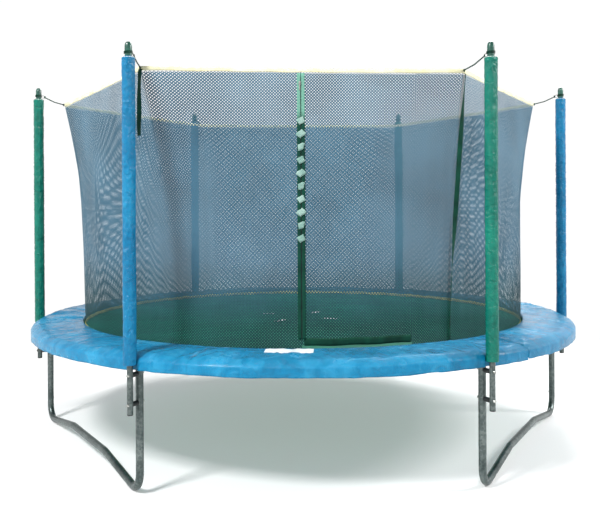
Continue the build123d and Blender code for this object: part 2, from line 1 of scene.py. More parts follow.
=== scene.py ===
import json
from math import cos, degrees, exp, pi, radians, sin, sqrt

import bmesh
import bpy
import numpy as np
from mathutils import Matrix, Vector, noise


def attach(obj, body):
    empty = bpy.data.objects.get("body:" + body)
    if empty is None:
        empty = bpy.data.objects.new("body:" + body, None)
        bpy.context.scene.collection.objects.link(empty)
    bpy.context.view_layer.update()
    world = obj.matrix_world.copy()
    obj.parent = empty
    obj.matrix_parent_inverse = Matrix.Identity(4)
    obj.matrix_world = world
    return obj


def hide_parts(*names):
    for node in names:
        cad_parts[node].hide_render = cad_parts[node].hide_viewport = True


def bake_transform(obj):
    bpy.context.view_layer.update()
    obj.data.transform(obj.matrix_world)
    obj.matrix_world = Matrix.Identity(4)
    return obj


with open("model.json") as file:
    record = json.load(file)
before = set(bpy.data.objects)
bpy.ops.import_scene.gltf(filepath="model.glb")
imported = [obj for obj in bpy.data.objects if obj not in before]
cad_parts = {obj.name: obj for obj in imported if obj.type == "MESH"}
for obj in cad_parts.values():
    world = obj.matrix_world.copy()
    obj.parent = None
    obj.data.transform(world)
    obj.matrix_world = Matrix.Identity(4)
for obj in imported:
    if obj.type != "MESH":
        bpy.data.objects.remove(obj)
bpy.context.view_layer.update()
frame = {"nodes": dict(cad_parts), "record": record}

slots = {row["node"]: row["material_slot"] for row in frame["record"]["subparts"]}
places = {  # pole places: angle in degrees, radius of the net's top corner in metres
    "right": (0.0, 1.682),
    "rear_right": (60.0, 1.785),
    "rear_left": (120.0, 1.705),
    "left": (180.0, 1.697),
    "front_left": (240.0, 1.784),
    "front_right": (300.0, 1.675),
}
placeStep = 60.0
poleRadius = 1.884

def toLinear(code):
    values = [int(code[i:i + 2], 16) / 255 for i in (0, 2, 4)]
    return [v / 12.92 if v <= 0.04045 else ((v + 0.055) / 1.055) ** 2.4 for v in values] + [1.0]


def addNode(tree, kind, inputs=None, **settings):
    node = tree.nodes.new(kind)
    for name, value in settings.items():
        setattr(node, name, value)
    for name, value in (inputs or {}).items():
        if isinstance(value, bpy.types.NodeSocket):
            tree.links.new(value, node.inputs[name])
        else:
            node.inputs[name].default_value = value
    return node


def polar(radius, angle, height=0.0):
    return Vector((radius * cos(radians(angle)), radius * sin(radians(angle)), height))


def meshPiece(name, verts, faces, uv=None):
    # verts is an n x 3 array, faces an m x 4 array, uv one pair for each vertex in metres
    mesh = bpy.data.meshes.new(name)
    verts = np.asarray(verts, np.float32).reshape(-1, 3)
    faces = np.asarray(faces, np.int32)
    mesh.vertices.add(len(verts))
    mesh.vertices.foreach_set("co", verts.ravel())
    mesh.loops.add(faces.size)
    mesh.loops.foreach_set("vertex_index", faces.ravel())
    mesh.polygons.add(len(faces))
    mesh.polygons.foreach_set("loop_start", np.arange(len(faces), dtype=np.int32) * faces.shape[1])
    mesh.polygons.foreach_set("use_smooth", np.full(len(faces), True))
    mesh.update(calc_edges=True)
    mesh.validate()
    if uv is not None:
        layer = mesh.uv_layers.new(name="UVMap")
        layer.data.foreach_set("uv", np.asarray(uv, np.float32)[faces.ravel()].ravel())
    piece = bpy.data.objects.new(name, mesh)
    bpy.context.scene.collection.objects.link(piece)
    return piece


def mixedPiece(name, verts, faces):
    # faces may have any number of corners
    mesh = bpy.data.meshes.new(name)
    mesh.from_pydata([tuple(v) for v in verts], [], faces)
    mesh.polygons.foreach_set("use_smooth", [True] * len(faces))
    piece = bpy.data.objects.new(name, mesh)
    bpy.context.scene.collection.objects.link(piece)
    return piece


def gridFaces(rows, columns, closeRows=False, closeColumns=False):
    i = np.arange(rows if closeRows else rows - 1)
    j = np.arange(columns if closeColumns else columns - 1)
    i, j = np.meshgrid(i, j, indexing="ij")
    i2, j2 = (i + 1) % rows, (j + 1) % columns
    corners = [i * columns + j, i * columns + j2, i2 * columns + j2, i2 * columns + j]
    return np.stack(corners, -1).reshape(-1, 4)


def outward(piece):
    # closed pieces get their faces turned outwards
    work = bmesh.new()
    work.from_mesh(piece.data)
    bmesh.ops.recalc_face_normals(work, faces=work.faces)
    work.to_mesh(piece.data)
    work.free()
    return piece


def joined(name, pieces):
    # one plain mesh from several, all at the origin
    bpy.ops.object.select_all(action="DESELECT")
    for piece in pieces:
        piece.select_set(True)
    bpy.context.view_layer.objects.active = pieces[0]
    bpy.ops.object.join()
    pieces[0].name = name
    pieces[0].data.name = name
    return pieces[0]


def dressed(piece, material, body, slot, *nodes):
    piece.data.materials.clear()
    piece.data.materials.append(material)
    if body:
        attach(piece, body)
    if nodes:
        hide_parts(*nodes)
    return piece


# Materials: a wave repeats every 314 mm / scale, noise and cells about every 1000 mm / scale
def newMaterial(name, roughness, metallic=0.0, sockets=None):
    material = bpy.data.materials.new(name)
    material.use_nodes = True
    tree = material.node_tree
    shader = tree.nodes["Principled BSDF"]
    shader.inputs["Roughness"].default_value = roughness
    shader.inputs["Metallic"].default_value = metallic
    for socket, value in (sockets or {}).items():
        shader.inputs[socket].default_value = value
    coords = addNode(tree, "ShaderNodeTexCoord")
    return material, tree, shader, coords


def shades(tree, factor, colours):
    ramp = addNode(tree, "ShaderNodeValToRGB", {"Fac": factor})
    stops = ramp.color_ramp.elements
    while len(stops) < len(colours):
        stops.new(0.5)
    for stop, (place, code) in zip(stops, colours):
        stop.position = place
        stop.color = toLinear(code)
    return ramp.outputs["Color"]


def bumped(tree, shader, height, strength, distance):
    bump = addNode(tree, "ShaderNodeBump", {"Height": height, "Strength": strength, "Distance": distance})
    tree.links.new(bump.outputs["Normal"], shader.inputs["Normal"])


def galvanisedSteel():
    # hot-dip zinc on steel tube: dull grey with faint 11 mm crystals and 140 mm patches of dirt
    material, tree, shader, coords = newMaterial("galvanisedSteel", 0.36, 0.85)
    place = coords.outputs["Object"]
    crystals = addNode(tree, "ShaderNodeTexVoronoi", {"Vector": place, "Scale": 90.0})
    dirt = addNode(tree, "ShaderNodeTexNoise", {"Vector": place, "Scale": 7.0, "Detail": 6.0})
    mixed = addNode(tree, "ShaderNodeMath", {0: crystals.outputs["Color"], 1: 0.35}, operation="MULTIPLY")
    total = addNode(tree, "ShaderNodeMath", {0: mixed.outputs[0], 1: dirt.outputs["Fac"]}, operation="ADD")
    colour = shades(tree, total.outputs[0], ((0.3, "3a4443"), (0.62, "545e5d"), (0.95, "7b8482")))
    tree.links.new(colour, shader.inputs["Base Color"])
    rough = addNode(tree, "ShaderNodeMapRange", {
        "Value": dirt.outputs["Fac"], "To Min": 0.26, "To Max": 0.5})
    tree.links.new(rough.outputs[0], shader.inputs["Roughness"])
    bumped(tree, shader, total.outputs[0], 0.15, 0.0006)
    return material


def brightZinc(name, code, roughness):
    # electroplated zinc: smooth and bright, with 25 mm patches of tarnish
    material, tree, shader, coords = newMaterial(name, roughness, 1.0)
    tarnish = addNode(tree, "ShaderNodeTexNoise", {
        "Vector": coords.outputs["Object"], "Scale": 40.0, "Detail": 4.0})
    colour = shades(tree, tarnish.outputs["Fac"], ((0.35, "8c8f8a"), (0.6, code)))
    tree.links.new(colour, shader.inputs["Base Color"])
    bumped(tree, shader, tarnish.outputs["Fac"], 0.1, 0.0003)
    return material


def mouldedPlastic(name, dark, light, roughness, coat=0.0):
    # injection-moulded polyethylene: tone in 33 mm clouds, with a 1.1 mm grain
    material, tree, shader, coords = newMaterial(name, roughness, sockets={"Coat Weight": coat, "IOR": 1.5})
    place = coords.outputs["Object"]
    cloud = addNode(tree, "ShaderNodeTexNoise", {"Vector": place, "Scale": 30.0, "Detail": 5.0})
    grain = addNode(tree, "ShaderNodeTexNoise", {"Vector": place, "Scale": 900.0, "Detail": 2.0})
    colour = shades(tree, cloud.outputs["Fac"], ((0.35, dark), (0.7, light)))
    tree.links.new(colour, shader.inputs["Base Color"])
    bumped(tree, shader, grain.outputs["Fac"], 0.12, 0.0004)
    return material


def vinyl(name, dark, middle, light, roughness, wrinkle):
    # PVC film on a polyester scrim: glossy, with the scrim's 4 mm grid (coarser than real), fading in
    # 380 mm clouds, and soft creases every 1000 mm / wrinkle, with painted shade in their hollows
    material, tree, shader, coords = newMaterial(name, roughness, sockets={
        "Coat Weight": 0.12, "Coat Roughness": 0.1, "IOR": 1.45, "Specular IOR Level": 0.28})
    place = coords.outputs["Object"]
    cloud = addNode(tree, "ShaderNodeTexNoise", {
        "Vector": place, "Scale": 2.6, "Detail": 8.0, "Roughness": 0.6})
    crease = addNode(tree, "ShaderNodeTexNoise", {
        "Vector": place, "Scale": wrinkle, "Detail": 6.0, "Distortion": 0.9})
    # the crease height feeds the colour too: painted shade in the crease hollows, painted light on the crests
    toneNoise = addNode(tree, "ShaderNodeMix", {
        "Factor": 0.35, "A": cloud.outputs["Fac"], "B": crease.outputs["Fac"]})
    colour = shades(tree, toneNoise.outputs["Result"], ((0.3, dark), (0.5, middle), (0.72, light)))
    tree.links.new(colour, shader.inputs["Base Color"])
    acrossX = addNode(tree, "ShaderNodeTexWave", {"Vector": place, "Scale": 78.0}, bands_direction="X")
    acrossY = addNode(tree, "ShaderNodeTexWave", {"Vector": place, "Scale": 78.0}, bands_direction="Y")
    scrim = addNode(tree, "ShaderNodeMath", {
        0: acrossX.outputs["Fac"], 1: acrossY.outputs["Fac"]}, operation="MULTIPLY")
    fine = addNode(tree, "ShaderNodeMath", {0: scrim.outputs[0], 1: 0.05}, operation="MULTIPLY")
    height = addNode(tree, "ShaderNodeMath", {
        0: crease.outputs["Fac"], 1: fine.outputs[0]}, operation="ADD")
    bumped(tree, shader, height.outputs[0], 1.0, 0.016)
    rough = addNode(tree, "ShaderNodeMapRange", {
        "Value": cloud.outputs["Fac"], "To Min": roughness - 0.08, "To Max": roughness + 0.14})
    tree.links.new(rough.outputs[0], shader.inputs["Roughness"])
    return material


def webbing(name, dark, light, upper=None, upperFrom=0.0):
    # woven polypropylene tape: 3 mm ribs and 2.4 mm rows, on the piece's own UV map in metres; from the
    # height upperFrom it may be paler. Sockets 6 and 7 of a Mix node are its two colours
    material, tree, shader, coords = newMaterial(name, 0.75, sockets={"Specular IOR Level": 0.15})
    ribs = addNode(tree, "ShaderNodeTexWave", {
        "Vector": coords.outputs["UV"], "Scale": 105.0}, bands_direction="X")
    rows = addNode(tree, "ShaderNodeTexWave", {
        "Vector": coords.outputs["UV"], "Scale": 130.0}, bands_direction="Y")
    weave = addNode(tree, "ShaderNodeMath", {
        0: ribs.outputs["Fac"], 1: rows.outputs["Fac"]}, operation="MULTIPLY")
    toneNoise = addNode(tree, "ShaderNodeTexNoise", {
        "Vector": coords.outputs["Object"], "Scale": 14.0, "Detail": 5.0})
    total = addNode(tree, "ShaderNodeMath", {0: weave.outputs[0], 1: 0.45}, operation="MULTIPLY")
    blend = addNode(tree, "ShaderNodeMath", {0: total.outputs[0], 1: toneNoise.outputs["Fac"]}, operation="ADD")
    colour = shades(tree, blend.outputs[0], ((0.35, dark), (0.95, light)))
    if upper:
        split = addNode(tree, "ShaderNodeSeparateXYZ", {0: coords.outputs["Object"]})
        high = addNode(tree, "ShaderNodeMapRange", {
            "Value": split.outputs["Z"], "From Min": upperFrom - 0.03, "From Max": upperFrom + 0.03})
        pale = addNode(tree, "ShaderNodeMix", {
            "Factor": high.outputs[0], 6: colour, 7: toLinear(upper)}, data_type="RGBA")
        colour = pale.outputs[2]
    tree.links.new(colour, shader.inputs["Base Color"])
    bumped(tree, shader, weave.outputs[0], 0.5, 0.0012)
    return material


def netStrand():
    # knotless polyethylene strands: blue grey with a 4 mm fibre, faded in 330 mm patches, darker near the mat
    material, tree, shader, coords = newMaterial("netStrand", 0.7, sockets={"Specular IOR Level": 0.2})
    fade = addNode(tree, "ShaderNodeTexNoise", {
        "Vector": coords.outputs["Object"], "Scale": 3.0, "Detail": 6.0})
    fibre = addNode(tree, "ShaderNodeTexNoise", {
        "Vector": coords.outputs["Object"], "Scale": 260.0, "Detail": 2.0})
    total = addNode(tree, "ShaderNodeMath", {
        0: fibre.outputs["Fac"], 1: fade.outputs["Fac"]}, operation="ADD")
    half = addNode(tree, "ShaderNodeMath", {0: total.outputs[0], 1: 0.5}, operation="MULTIPLY")
    # the strands blend from the paler tone above 1.22 m to the darker one below 0.86 m
    highTone = shades(tree, half.outputs[0], ((0.35, "2a4a5b"), (0.65, "4d7388")))
    lowTone = shades(tree, half.outputs[0], ((0.35, "0a2a2e"), (0.65, "1c4648")))
    place = addNode(tree, "ShaderNodeSeparateXYZ", {0: coords.outputs["Object"]})
    rise = addNode(tree, "ShaderNodeMapRange", {
        "Value": place.outputs["Z"], "From Min": 0.86, "From Max": 1.22})
    colour = addNode(tree, "ShaderNodeMix", {
        "Factor": rise.outputs[0], 6: lowTone, 7: highTone}, data_type="RGBA")
    tree.links.new(colour.outputs[2], shader.inputs["Base Color"])
    bumped(tree, shader, fibre.outputs["Fac"], 0.3, 0.0008)
    return material


def matWeave():
    # woven polypropylene monofilament: matt, 8 mm checks (coarser than real) over 450 mm dusty patches
    material, tree, shader, coords = newMaterial("matWeave", 0.7, sockets={"Specular IOR Level": 0.15})
    place = coords.outputs["Object"]
    warp = addNode(tree, "ShaderNodeTexWave", {"Vector": place, "Scale": 39.0}, bands_direction="X")
    weft = addNode(tree, "ShaderNodeTexWave", {"Vector": place, "Scale": 39.0}, bands_direction="Y")
    cross = addNode(tree, "ShaderNodeMath", {
        0: warp.outputs["Fac"], 1: weft.outputs["Fac"]}, operation="MULTIPLY")
    dust = addNode(tree, "ShaderNodeTexNoise", {
        "Vector": place, "Scale": 2.2, "Detail": 9.0, "Roughness": 0.65})
    part = addNode(tree, "ShaderNodeMath", {0: cross.outputs[0], 1: 0.25}, operation="MULTIPLY")
    total = addNode(tree, "ShaderNodeMath", {0: part.outputs[0], 1: dust.outputs["Fac"]}, operation="ADD")
    colour = shades(tree, total.outputs[0], ((0.4, "006049"), (0.95, "0e9875")))
    tree.links.new(colour, shader.inputs["Base Color"])
    bumped(tree, shader, cross.outputs[0], 0.4, 0.0012)
    return material


def plainFoam():
    # closed-cell polyethylene foam: matt, with 2.4 mm pores (coarser than real);
    # each pore is painted darker towards its middle: painted shade in its hollow
    material, tree, shader, coords = newMaterial("closedCellFoam", 0.85)
    pores = addNode(tree, "ShaderNodeTexVoronoi", {"Vector": coords.outputs["Object"], "Scale": 420.0})
    colour = shades(tree, pores.outputs["Distance"], ((0.1, "a9adab"), (0.5, "dfe2e0")))
    tree.links.new(colour, shader.inputs["Base Color"])
    bumped(tree, shader, pores.outputs["Distance"], 0.5, 0.001)
    return material


def printedFilm():
    # blank white polyester film with 17 mm scuffs
    material, tree, shader, coords = newMaterial("whiteFilm", 0.4)
    scuff = addNode(tree, "ShaderNodeTexNoise", {
        "Vector": coords.outputs["Object"], "Scale": 60.0, "Detail": 7.0})
    colour = shades(tree, scuff.outputs["Fac"], ((0.35, "cfdde2"), (0.6, "eef5f7")))
    tree.links.new(colour, shader.inputs["Base Color"])
    bumped(tree, shader, scuff.outputs["Fac"], 0.2, 0.0005)
    return material


finishes = {
    "galvanised_tube": galvanisedSteel(),
    "zinc_fastener": brightZinc("platedZinc", "c6c9c4", 0.25),
    "spring_steel": brightZinc("springWire", "b4b8b6", 0.3),
    "black_plastic": mouldedPlastic("blackPlastic", "101213", "222527", 0.45),
    "cap_plastic": mouldedPlastic("greenCapPlastic", "0a3a30", "17594a", 0.32, 0.2),
    "foam": plainFoam(),
    "mat_fabric": matWeave(),
    "pad_vinyl": vinyl("bluePadVinyl", "00597d", "047aa6", "35a0ca", 0.22, 12.0),
    "sleeve_blue": vinyl("blueSleeveVinyl", "00567c", "006d99", "1788b3", 0.2, 30.0),
    "sleeve_green": vinyl("greenSleeveVinyl", "005245", "016d5d", "12866f", 0.2, 30.0),
    "net_mesh": netStrand(),
    "tape_cream": webbing("creamTape", "d8d2a4", "f7f4dc"),
    "strap_green": webbing("greenWebbing", "04281f", "0f4c3a"),
    "label_white": printedFilm(),
}
oliveTape = webbing("oliveTape", "8c8a48", "d6d08a")
paleStrip = webbing("stripWebbing", "042c23", "0f4c3c", "6a9f8d", 1.99)
whiteThread = webbing("whiteThread", "e3ebe8", "ffffff")
tabCloth = webbing("tabCloth", "5f8a80", "a9c4bb")
sharpAngle = 35  # edges of the hard parts sharper than this stay crisp
for nodeName, piece in frame["nodes"].items():
    piece.data.materials.clear()
    piece.data.materials.append(finishes[slots[nodeName]])
    piece.data.polygons.foreach_set("use_smooth", [True] * len(piece.data.polygons))
    piece.data.set_sharp_from_angle(angle=radians(sharpAngle))
print("materials done")

# Camera, floor and lights
view = {  # turn and roll in degrees, lens and sensor in mm, side, back and eye in metres
    "turn": 1.4865, "side": -0.0168, "back": 5.814, "eye": 1.510,
    "lens": 48.32, "sensor": 36.0, "shift": -0.0973, "roll": -0.29,
}
turn = Matrix.Rotation(radians(-view["turn"]), 4, "Z")
cameraData = bpy.data.cameras.new("camera")
cameraData.lens = view["lens"]
cameraData.sensor_width = view["sensor"]
cameraData.shift_y = view["shift"]
camera = bpy.data.objects.new("camera", cameraData)
tilt = Matrix.Rotation(radians(90), 4, "X") @ Matrix.Rotation(radians(view["roll"]), 4, "Z")
camera.matrix_world = turn @ Matrix.Translation((view["side"], -view["back"], view["eye"])) @ tilt
bpy.context.scene.collection.objects.link(camera)
bpy.context.scene.camera = camera

# the pale floor glows softly from fadeFrom to fadeTo metres out, so it has no edge
studio = {
    "half": 40, "fadeFrom": 1.9, "fadeTo": 4.5, "nearGlow": 0.25, "glow": 1.02,
    "skyFrom": 0.25, "skyTo": 0.55, "zenith": 0.4, "lampTarget": (0, 0, 1.2),
}
floorCorners = [(x * studio["half"], y * studio["half"], 0) for x, y in ((-1, -1), (1, -1), (1, 1), (-1, 1))]
floor = meshPiece("floor", floorCorners, [(0, 1, 2, 3)])
floorPaint = bpy.data.materials.new("paleFloor")
floorPaint.use_nodes = True
floorTree = floorPaint.node_tree
floorShader = floorTree.nodes["Principled BSDF"]
floorShader.inputs["Base Color"].default_value = toLinear("ffffff")
floorShader.inputs["Roughness"].default_value = 0.9
floorPlace = addNode(floorTree, "ShaderNodeTexCoord")
far = addNode(floorTree, "ShaderNodeVectorMath", {0: floorPlace.outputs["Object"]}, operation="LENGTH")
fade = addNode(floorTree, "ShaderNodeMapRange", {
    "Value": far.outputs["Value"], "From Min": studio["fadeFrom"], "From Max": studio["fadeTo"],
    "To Min": studio["nearGlow"], "To Max": 1.0})
glow = addNode(floorTree, "ShaderNodeEmission", {"Color": (1, 1, 1, 1), "Strength": studio["glow"]})
cove = addNode(floorTree, "ShaderNodeMixShader", {
    0: fade.outputs[0], 1: floorShader.outputs[0], 2: glow.outputs[0]})
floorTree.links.new(cove.outputs[0], floorTree.nodes["Material Output"].inputs["Surface"])
floor.data.materials.append(floorPaint)
world = bpy.data.worlds.new("studio")
bpy.context.scene.world = world
world.use_nodes = True
skyTree = world.node_tree
skyPlace = addNode(skyTree, "ShaderNodeTexCoord")
skyWay = addNode(skyTree, "ShaderNodeSeparateXYZ", {0: skyPlace.outputs["Generated"]})
skyFade = addNode(skyTree, "ShaderNodeMapRange", {
    "Value": skyWay.outputs["Z"], "From Min": studio["skyFrom"], "From Max": studio["skyTo"],
    "To Min": studio["glow"], "To Max": studio["zenith"]})
skyTree.links.new(skyFade.outputs[0], skyTree.nodes["Background"].inputs["Strength"])
skyTree.nodes["Background"].inputs["Color"].default_value = (1, 1, 1, 1)
for name, spot, size, power in (
    ("keyLight", (-4.5, -6.0, 7.0), 1.6, 900.0),
    ("fillLight", (7.0, -1.5, 5.0), 2.0, 450.0),
    ("rimLight", (3.0, 6.0, 7.5), 3.0, 750.0),
):
    lamp = bpy.data.lights.new(name, "AREA")
    lamp.size = size
    lamp.energy = power
    holder = bpy.data.objects.new(name, lamp)
    aim = (Vector(studio["lampTarget"]) - Vector(spot)).to_track_quat("-Z", "Y").to_matrix().to_4x4()
    holder.matrix_world = Matrix.Translation(spot) @ aim
    bpy.context.scene.collection.objects.link(holder)
bpy.context.scene.view_settings.view_transform = "Standard"


# The loose strap at the front left corner: a flat webbing cord
looseStrap = {"width": 0.026, "thickness": 0.0018, "twist": 14.0, "cup": 0.001, "out": 0.003, "top": 2.239}
strapAngle, strapCorner = places["front_left"]
strapTop = polar(strapCorner + looseStrap["out"], strapAngle, looseStrap["top"])
strapRoute = (  # outwards and upwards from the strap's top
    (0.001, 0.0), (0.009, -0.016), (0.010, -0.060), (0.015, -0.130),
    (0.012, -0.220), (0.017, -0.300), (0.015, -0.352),
)
routeData = bpy.data.curves.new("strapRoute", "CURVE")
routeData.dimensions = "3D"
routeData.resolution_u = 8
spline = routeData.splines.new("NURBS")
spline.points.add(len(strapRoute) - 1)
for point, (out, up) in zip(spline.points, strapRoute):
    point.co = (*(strapTop + polar(out, strapAngle, up)), 1.0)
spline.order_u = 3
spline.use_endpoint_u = True
routeObject = bpy.data.objects.new("strapRoute", routeData)
bpy.context.scene.collection.objects.link(routeObject)
bpy.context.view_layer.update()
route = bpy.data.meshes.new_from_object(routeObject.evaluated_get(bpy.context.evaluated_depsgraph_get()))
linePoints = np.array([v.co for v in route.vertices])
bpy.data.objects.remove(routeObject)
twistWaves = 2.4  # half waves of twist along a ribbon


def ribbon(name, points, side, width, thickness, twist=0.0, cup=0.0, across=6):
    # a flat strap along points; side is its width direction, turned by up to twist degrees along the way
    points = np.asarray(points, float)
    side = Vector(side).normalized()
    steps = np.linalg.norm(np.diff(points, axis=0), axis=1)
    run = np.concatenate([[0], np.cumsum(steps)])
    verts, uv = [], []
    for k, point in enumerate(points):
        ahead = Vector(points[min(k + 1, len(points) - 1)] - points[max(k - 1, 0)]).normalized()
        lean = radians(twist * sin(twistWaves * run[k] / run[-1] * pi))
        turned = Matrix.Rotation(lean, 3, ahead) @ side
        turned = (turned - ahead * turned.dot(ahead)).normalized()
        face = turned.cross(ahead)
        for layer in (1, -1):
            for s in np.linspace(-1, 1, across) * layer:
                lift = cup * (1 - s * s) + layer * thickness / 2
                verts.append(Vector(point) + turned * (s * width / 2) + face * lift)
                uv.append((run[k], s * width / 2))
    ring = 2 * across
    faces = gridFaces(len(points), ring, closeColumns=True)
    caps = [(k * ring + a, k * ring + a + 1, k * ring + ring - 2 - a, k * ring + ring - 1 - a)
            for k in (0, len(points) - 1) for a in range(across - 1)]
    return outward(meshPiece(name, verts, np.concatenate([faces, np.array(caps)]), uv))


hanging = ribbon("loose_strap", linePoints, polar(1.0, strapAngle + 90), looseStrap["width"],
                 looseStrap["thickness"], looseStrap["twist"], looseStrap["cup"])
dressed(hanging, finishes["strap_green"], "frame", "strap_green", "hanging_strap")
print("loose strap done")


# Safety pad: six vinyl sections over foam, sewn end to end
pad = {
    "inner": 1.530, "outer": 1.863, "innerTop": 0.754, "ringTop": 0.743, "edgeTop": 0.722,
    "ringRadius": 1.809, "innerBottom": 0.729, "ringBottom": 0.7235, "edgeBottom": 0.706,
    "skirtBottom": 0.664, "skirtWall": 0.0025,
    "notch": 0.037, "seamTurn": 10.0, "crown": 0.009, "fold": 0.0125, "wave": 0.0075, "arcRadius": 1.7,
    "steps": 220, "nearPole": 1.35, "nearSeam": 1.2, "topPoints": 24, "skirtPoints": 8, "skirtTuck": 0.69,
    "rolledEdge": ((-0.0025, 0.735), (-0.003, 0.744), (-0.0015, 0.751)),  # out from the inner radius, height
    "foamFoot": (1.66, 0.7265),
}


def padEdge(angle):
    # outer radius of the pad, drawn in where a pole sleeve stands against it
    near = (angle + 30.0) % placeStep - 30.0
    side = abs(poleRadius * sin(radians(near)))
    if side >= pad["notch"]:
        return pad["outer"]
    return min(pad["outer"], poleRadius - sqrt(pad["notch"] ** 2 - side ** 2))


def padTop(radius, angle):
    # height of the vinyl: the foam's slope and crown, radial folds, long waves and the pinch at a seam
    t = (radius - pad["inner"]) / (pad["outer"] - pad["inner"])
    if radius < pad["ringRadius"]:
        fall = pad["ringTop"] - pad["innerTop"]
        base = pad["innerTop"] + fall * (radius - pad["inner"]) / (pad["ringRadius"] - pad["inner"])
    else:
        share = (radius - pad["ringRadius"]) / (pad["outer"] - pad["ringRadius"])
        base = pad["ringTop"] + (pad["edgeTop"] - pad["ringTop"]) * share
    arc = radians(angle) * pad["arcRadius"]
    seam = abs((angle - pad["seamTurn"] + 30.0) % placeStep - 30.0) * radians(1) * pad["arcRadius"]
    pole = abs((angle + 30.0) % placeStep - 30.0) * radians(1) * pad["arcRadius"]
    # folds every 75 mm, small ones every 34 mm and waves every 420 mm along the pad
    fold = 1 - abs(noise.noise((arc / 0.075 + 1.6 * t, radius / 0.32, 3.1))) * 3.2
    small = 0.6 - abs(noise.noise((arc / 0.034 - 3.0 * t, radius / 0.11, 8.7))) * 2.4
    wave = noise.noise((arc / 0.42, radius / 0.6, 1.7))
    # folds are deeper within 110 mm of a seam and 140 mm of a pole, and a seam pulls the top 13 mm down
    strength = 0.42 + 0.7 * exp(-seam / 0.11) + 0.6 * exp(-pole / 0.14) * t
    lift = pad["fold"] * strength * (0.6 * fold + 0.35 * small) + pad["wave"] * wave
    pinch = 0.009 * exp(-(seam / 0.009) ** 2) + 0.004 * exp(-(seam / 0.035) ** 2)
    rim = max(0.0, sin(pi * min(max(t, 0.0), 1.0))) ** 0.45
    return base + (pad["crown"] + lift - pinch) * rim - 0.002 * rim


def skirtShape(angle):
    # how far the skirt's lower edge hangs down and stands out at this angle
    arc = radians(angle) * pad["arcRadius"]
    hang = 0.006 * noise.noise((arc / 0.20, 5.5, 0.2)) + 0.003 * noise.noise((arc / 0.06, 2.5, 0.9))
    flare = 0.005 * noise.noise((arc / 0.16, 0.4, 7.3)) + 0.0018 * noise.noise((arc / 0.045, 1.4, 2.3))
    return hang, flare


def padOutline(angle):
    # the closed section of pad and skirt: inner edge, top, skirt down, skirt up, foot of the foam
    edge = padEdge(angle)
    hang, flare = skirtShape(angle)
    flare = flare if edge > pad["outer"] - 1e-6 else 0.0
    section = [(pad["inner"] + 0.0015, pad["innerBottom"] + 0.001)]
    section += [(pad["inner"] + out, height) for out, height in pad["rolledEdge"]]
    for t in np.linspace(0, 1, pad["topPoints"]):
        radius = pad["inner"] + 0.002 + (edge - 0.009 - pad["inner"] - 0.002) * t
        section.append((radius, padTop(radius, angle)))
    section.append((edge - 0.003, pad["edgeTop"] - 0.002))
    for t in np.linspace(0.0, 1.0, pad["skirtPoints"]):
        height = pad["edgeTop"] - 0.007 + (pad["skirtBottom"] + hang - pad["edgeTop"] + 0.007) * t
        pinchIn = 0.0022 * exp(-((t - 0.86) / 0.07) ** 2)  # the line of the hem's stitching
        section.append((edge + flare * t - pinchIn, height))
    inner = edge - pad["skirtWall"]
    section.append((inner + flare, pad["skirtBottom"] + hang))
    section.append((inner + flare * 0.5, pad["skirtTuck"]))
    section.append((inner, pad["edgeBottom"]))
    section.append((min(inner - 0.004, pad["ringRadius"] + 0.007), pad["ringBottom"]))
    section.append(pad["foamFoot"])
    return section


def padSection(number, poleAngle):
    first = poleAngle + pad["seamTurn"] - placeStep
    last = poleAngle + pad["seamTurn"]
    even = np.linspace(first, last, pad["steps"])
    nearPole = poleAngle + np.linspace(-pad["nearPole"], pad["nearPole"], 28)
    close = np.linspace(0, pad["nearSeam"], 9)
    angles = np.unique(np.round(np.concatenate([even, nearPole, first + close, last - close]), 5))
    verts = []
    for angle in angles:
        out = polar(1.0, angle)
        section = padOutline(angle)
        verts += [(out.x * radius, out.y * radius, height) for radius, height in section]
    ring = len(section)
    faces = [tuple(f) for f in gridFaces(len(angles), ring, closeColumns=True)]
    faces += [tuple(range(ring)), tuple(range((len(angles) - 1) * ring, len(angles) * ring))[::-1]]
    piece = outward(mixedPiece(f"pad_section_{number}", verts, faces))
    dressed(piece, finishes["pad_vinyl"], "frame", "pad_vinyl", f"safety_pad_{number}")


for number, (angle, _) in enumerate(places.values(), start=1):
    padSection(number, angle)
print("safety pad done")


# Stitches along the pad seams, by geometry nodes
def geometryTree(name, inputs):
    tree = bpy.data.node_groups.new(name, "GeometryNodeTree")
    tree.interface.new_socket("Geometry", in_out="INPUT", socket_type="NodeSocketGeometry")
    for label, kind, value in inputs:
        tree.interface.new_socket(label, in_out="INPUT", socket_type=kind).default_value = value
    tree.interface.new_socket("Geometry", in_out="OUTPUT", socket_type="NodeSocketGeometry")
    return tree, tree.nodes.new("NodeGroupInput"), tree.nodes.new("NodeGroupOutput")


def grown(name, tree, values, source=None):
    # runs a tree on a carrier mesh, and returns the result as a plain mesh object
    carrier = bpy.data.objects.new(name + "Carrier", source or bpy.data.meshes.new(name + "Carrier"))
    bpy.context.scene.collection.objects.link(carrier)
    modifier = carrier.modifiers.new("grow", "NODES")
    modifier.node_group = tree
    names = {item.name: item.identifier for item in tree.interface.items_tree if item.in_out == "INPUT"}
    for label, value in values.items():
        modifier[names[label]] = value
    bpy.context.view_layer.update()
    mesh = bpy.data.meshes.new_from_object(carrier.evaluated_get(bpy.context.evaluated_depsgraph_get()))
    carrier.modifiers.remove(modifier)
    bpy.data.objects.remove(carrier)
    mesh.name = name
    piece = bpy.data.objects.new(name, mesh)
    bpy.context.scene.collection.objects.link(piece)
    return piece


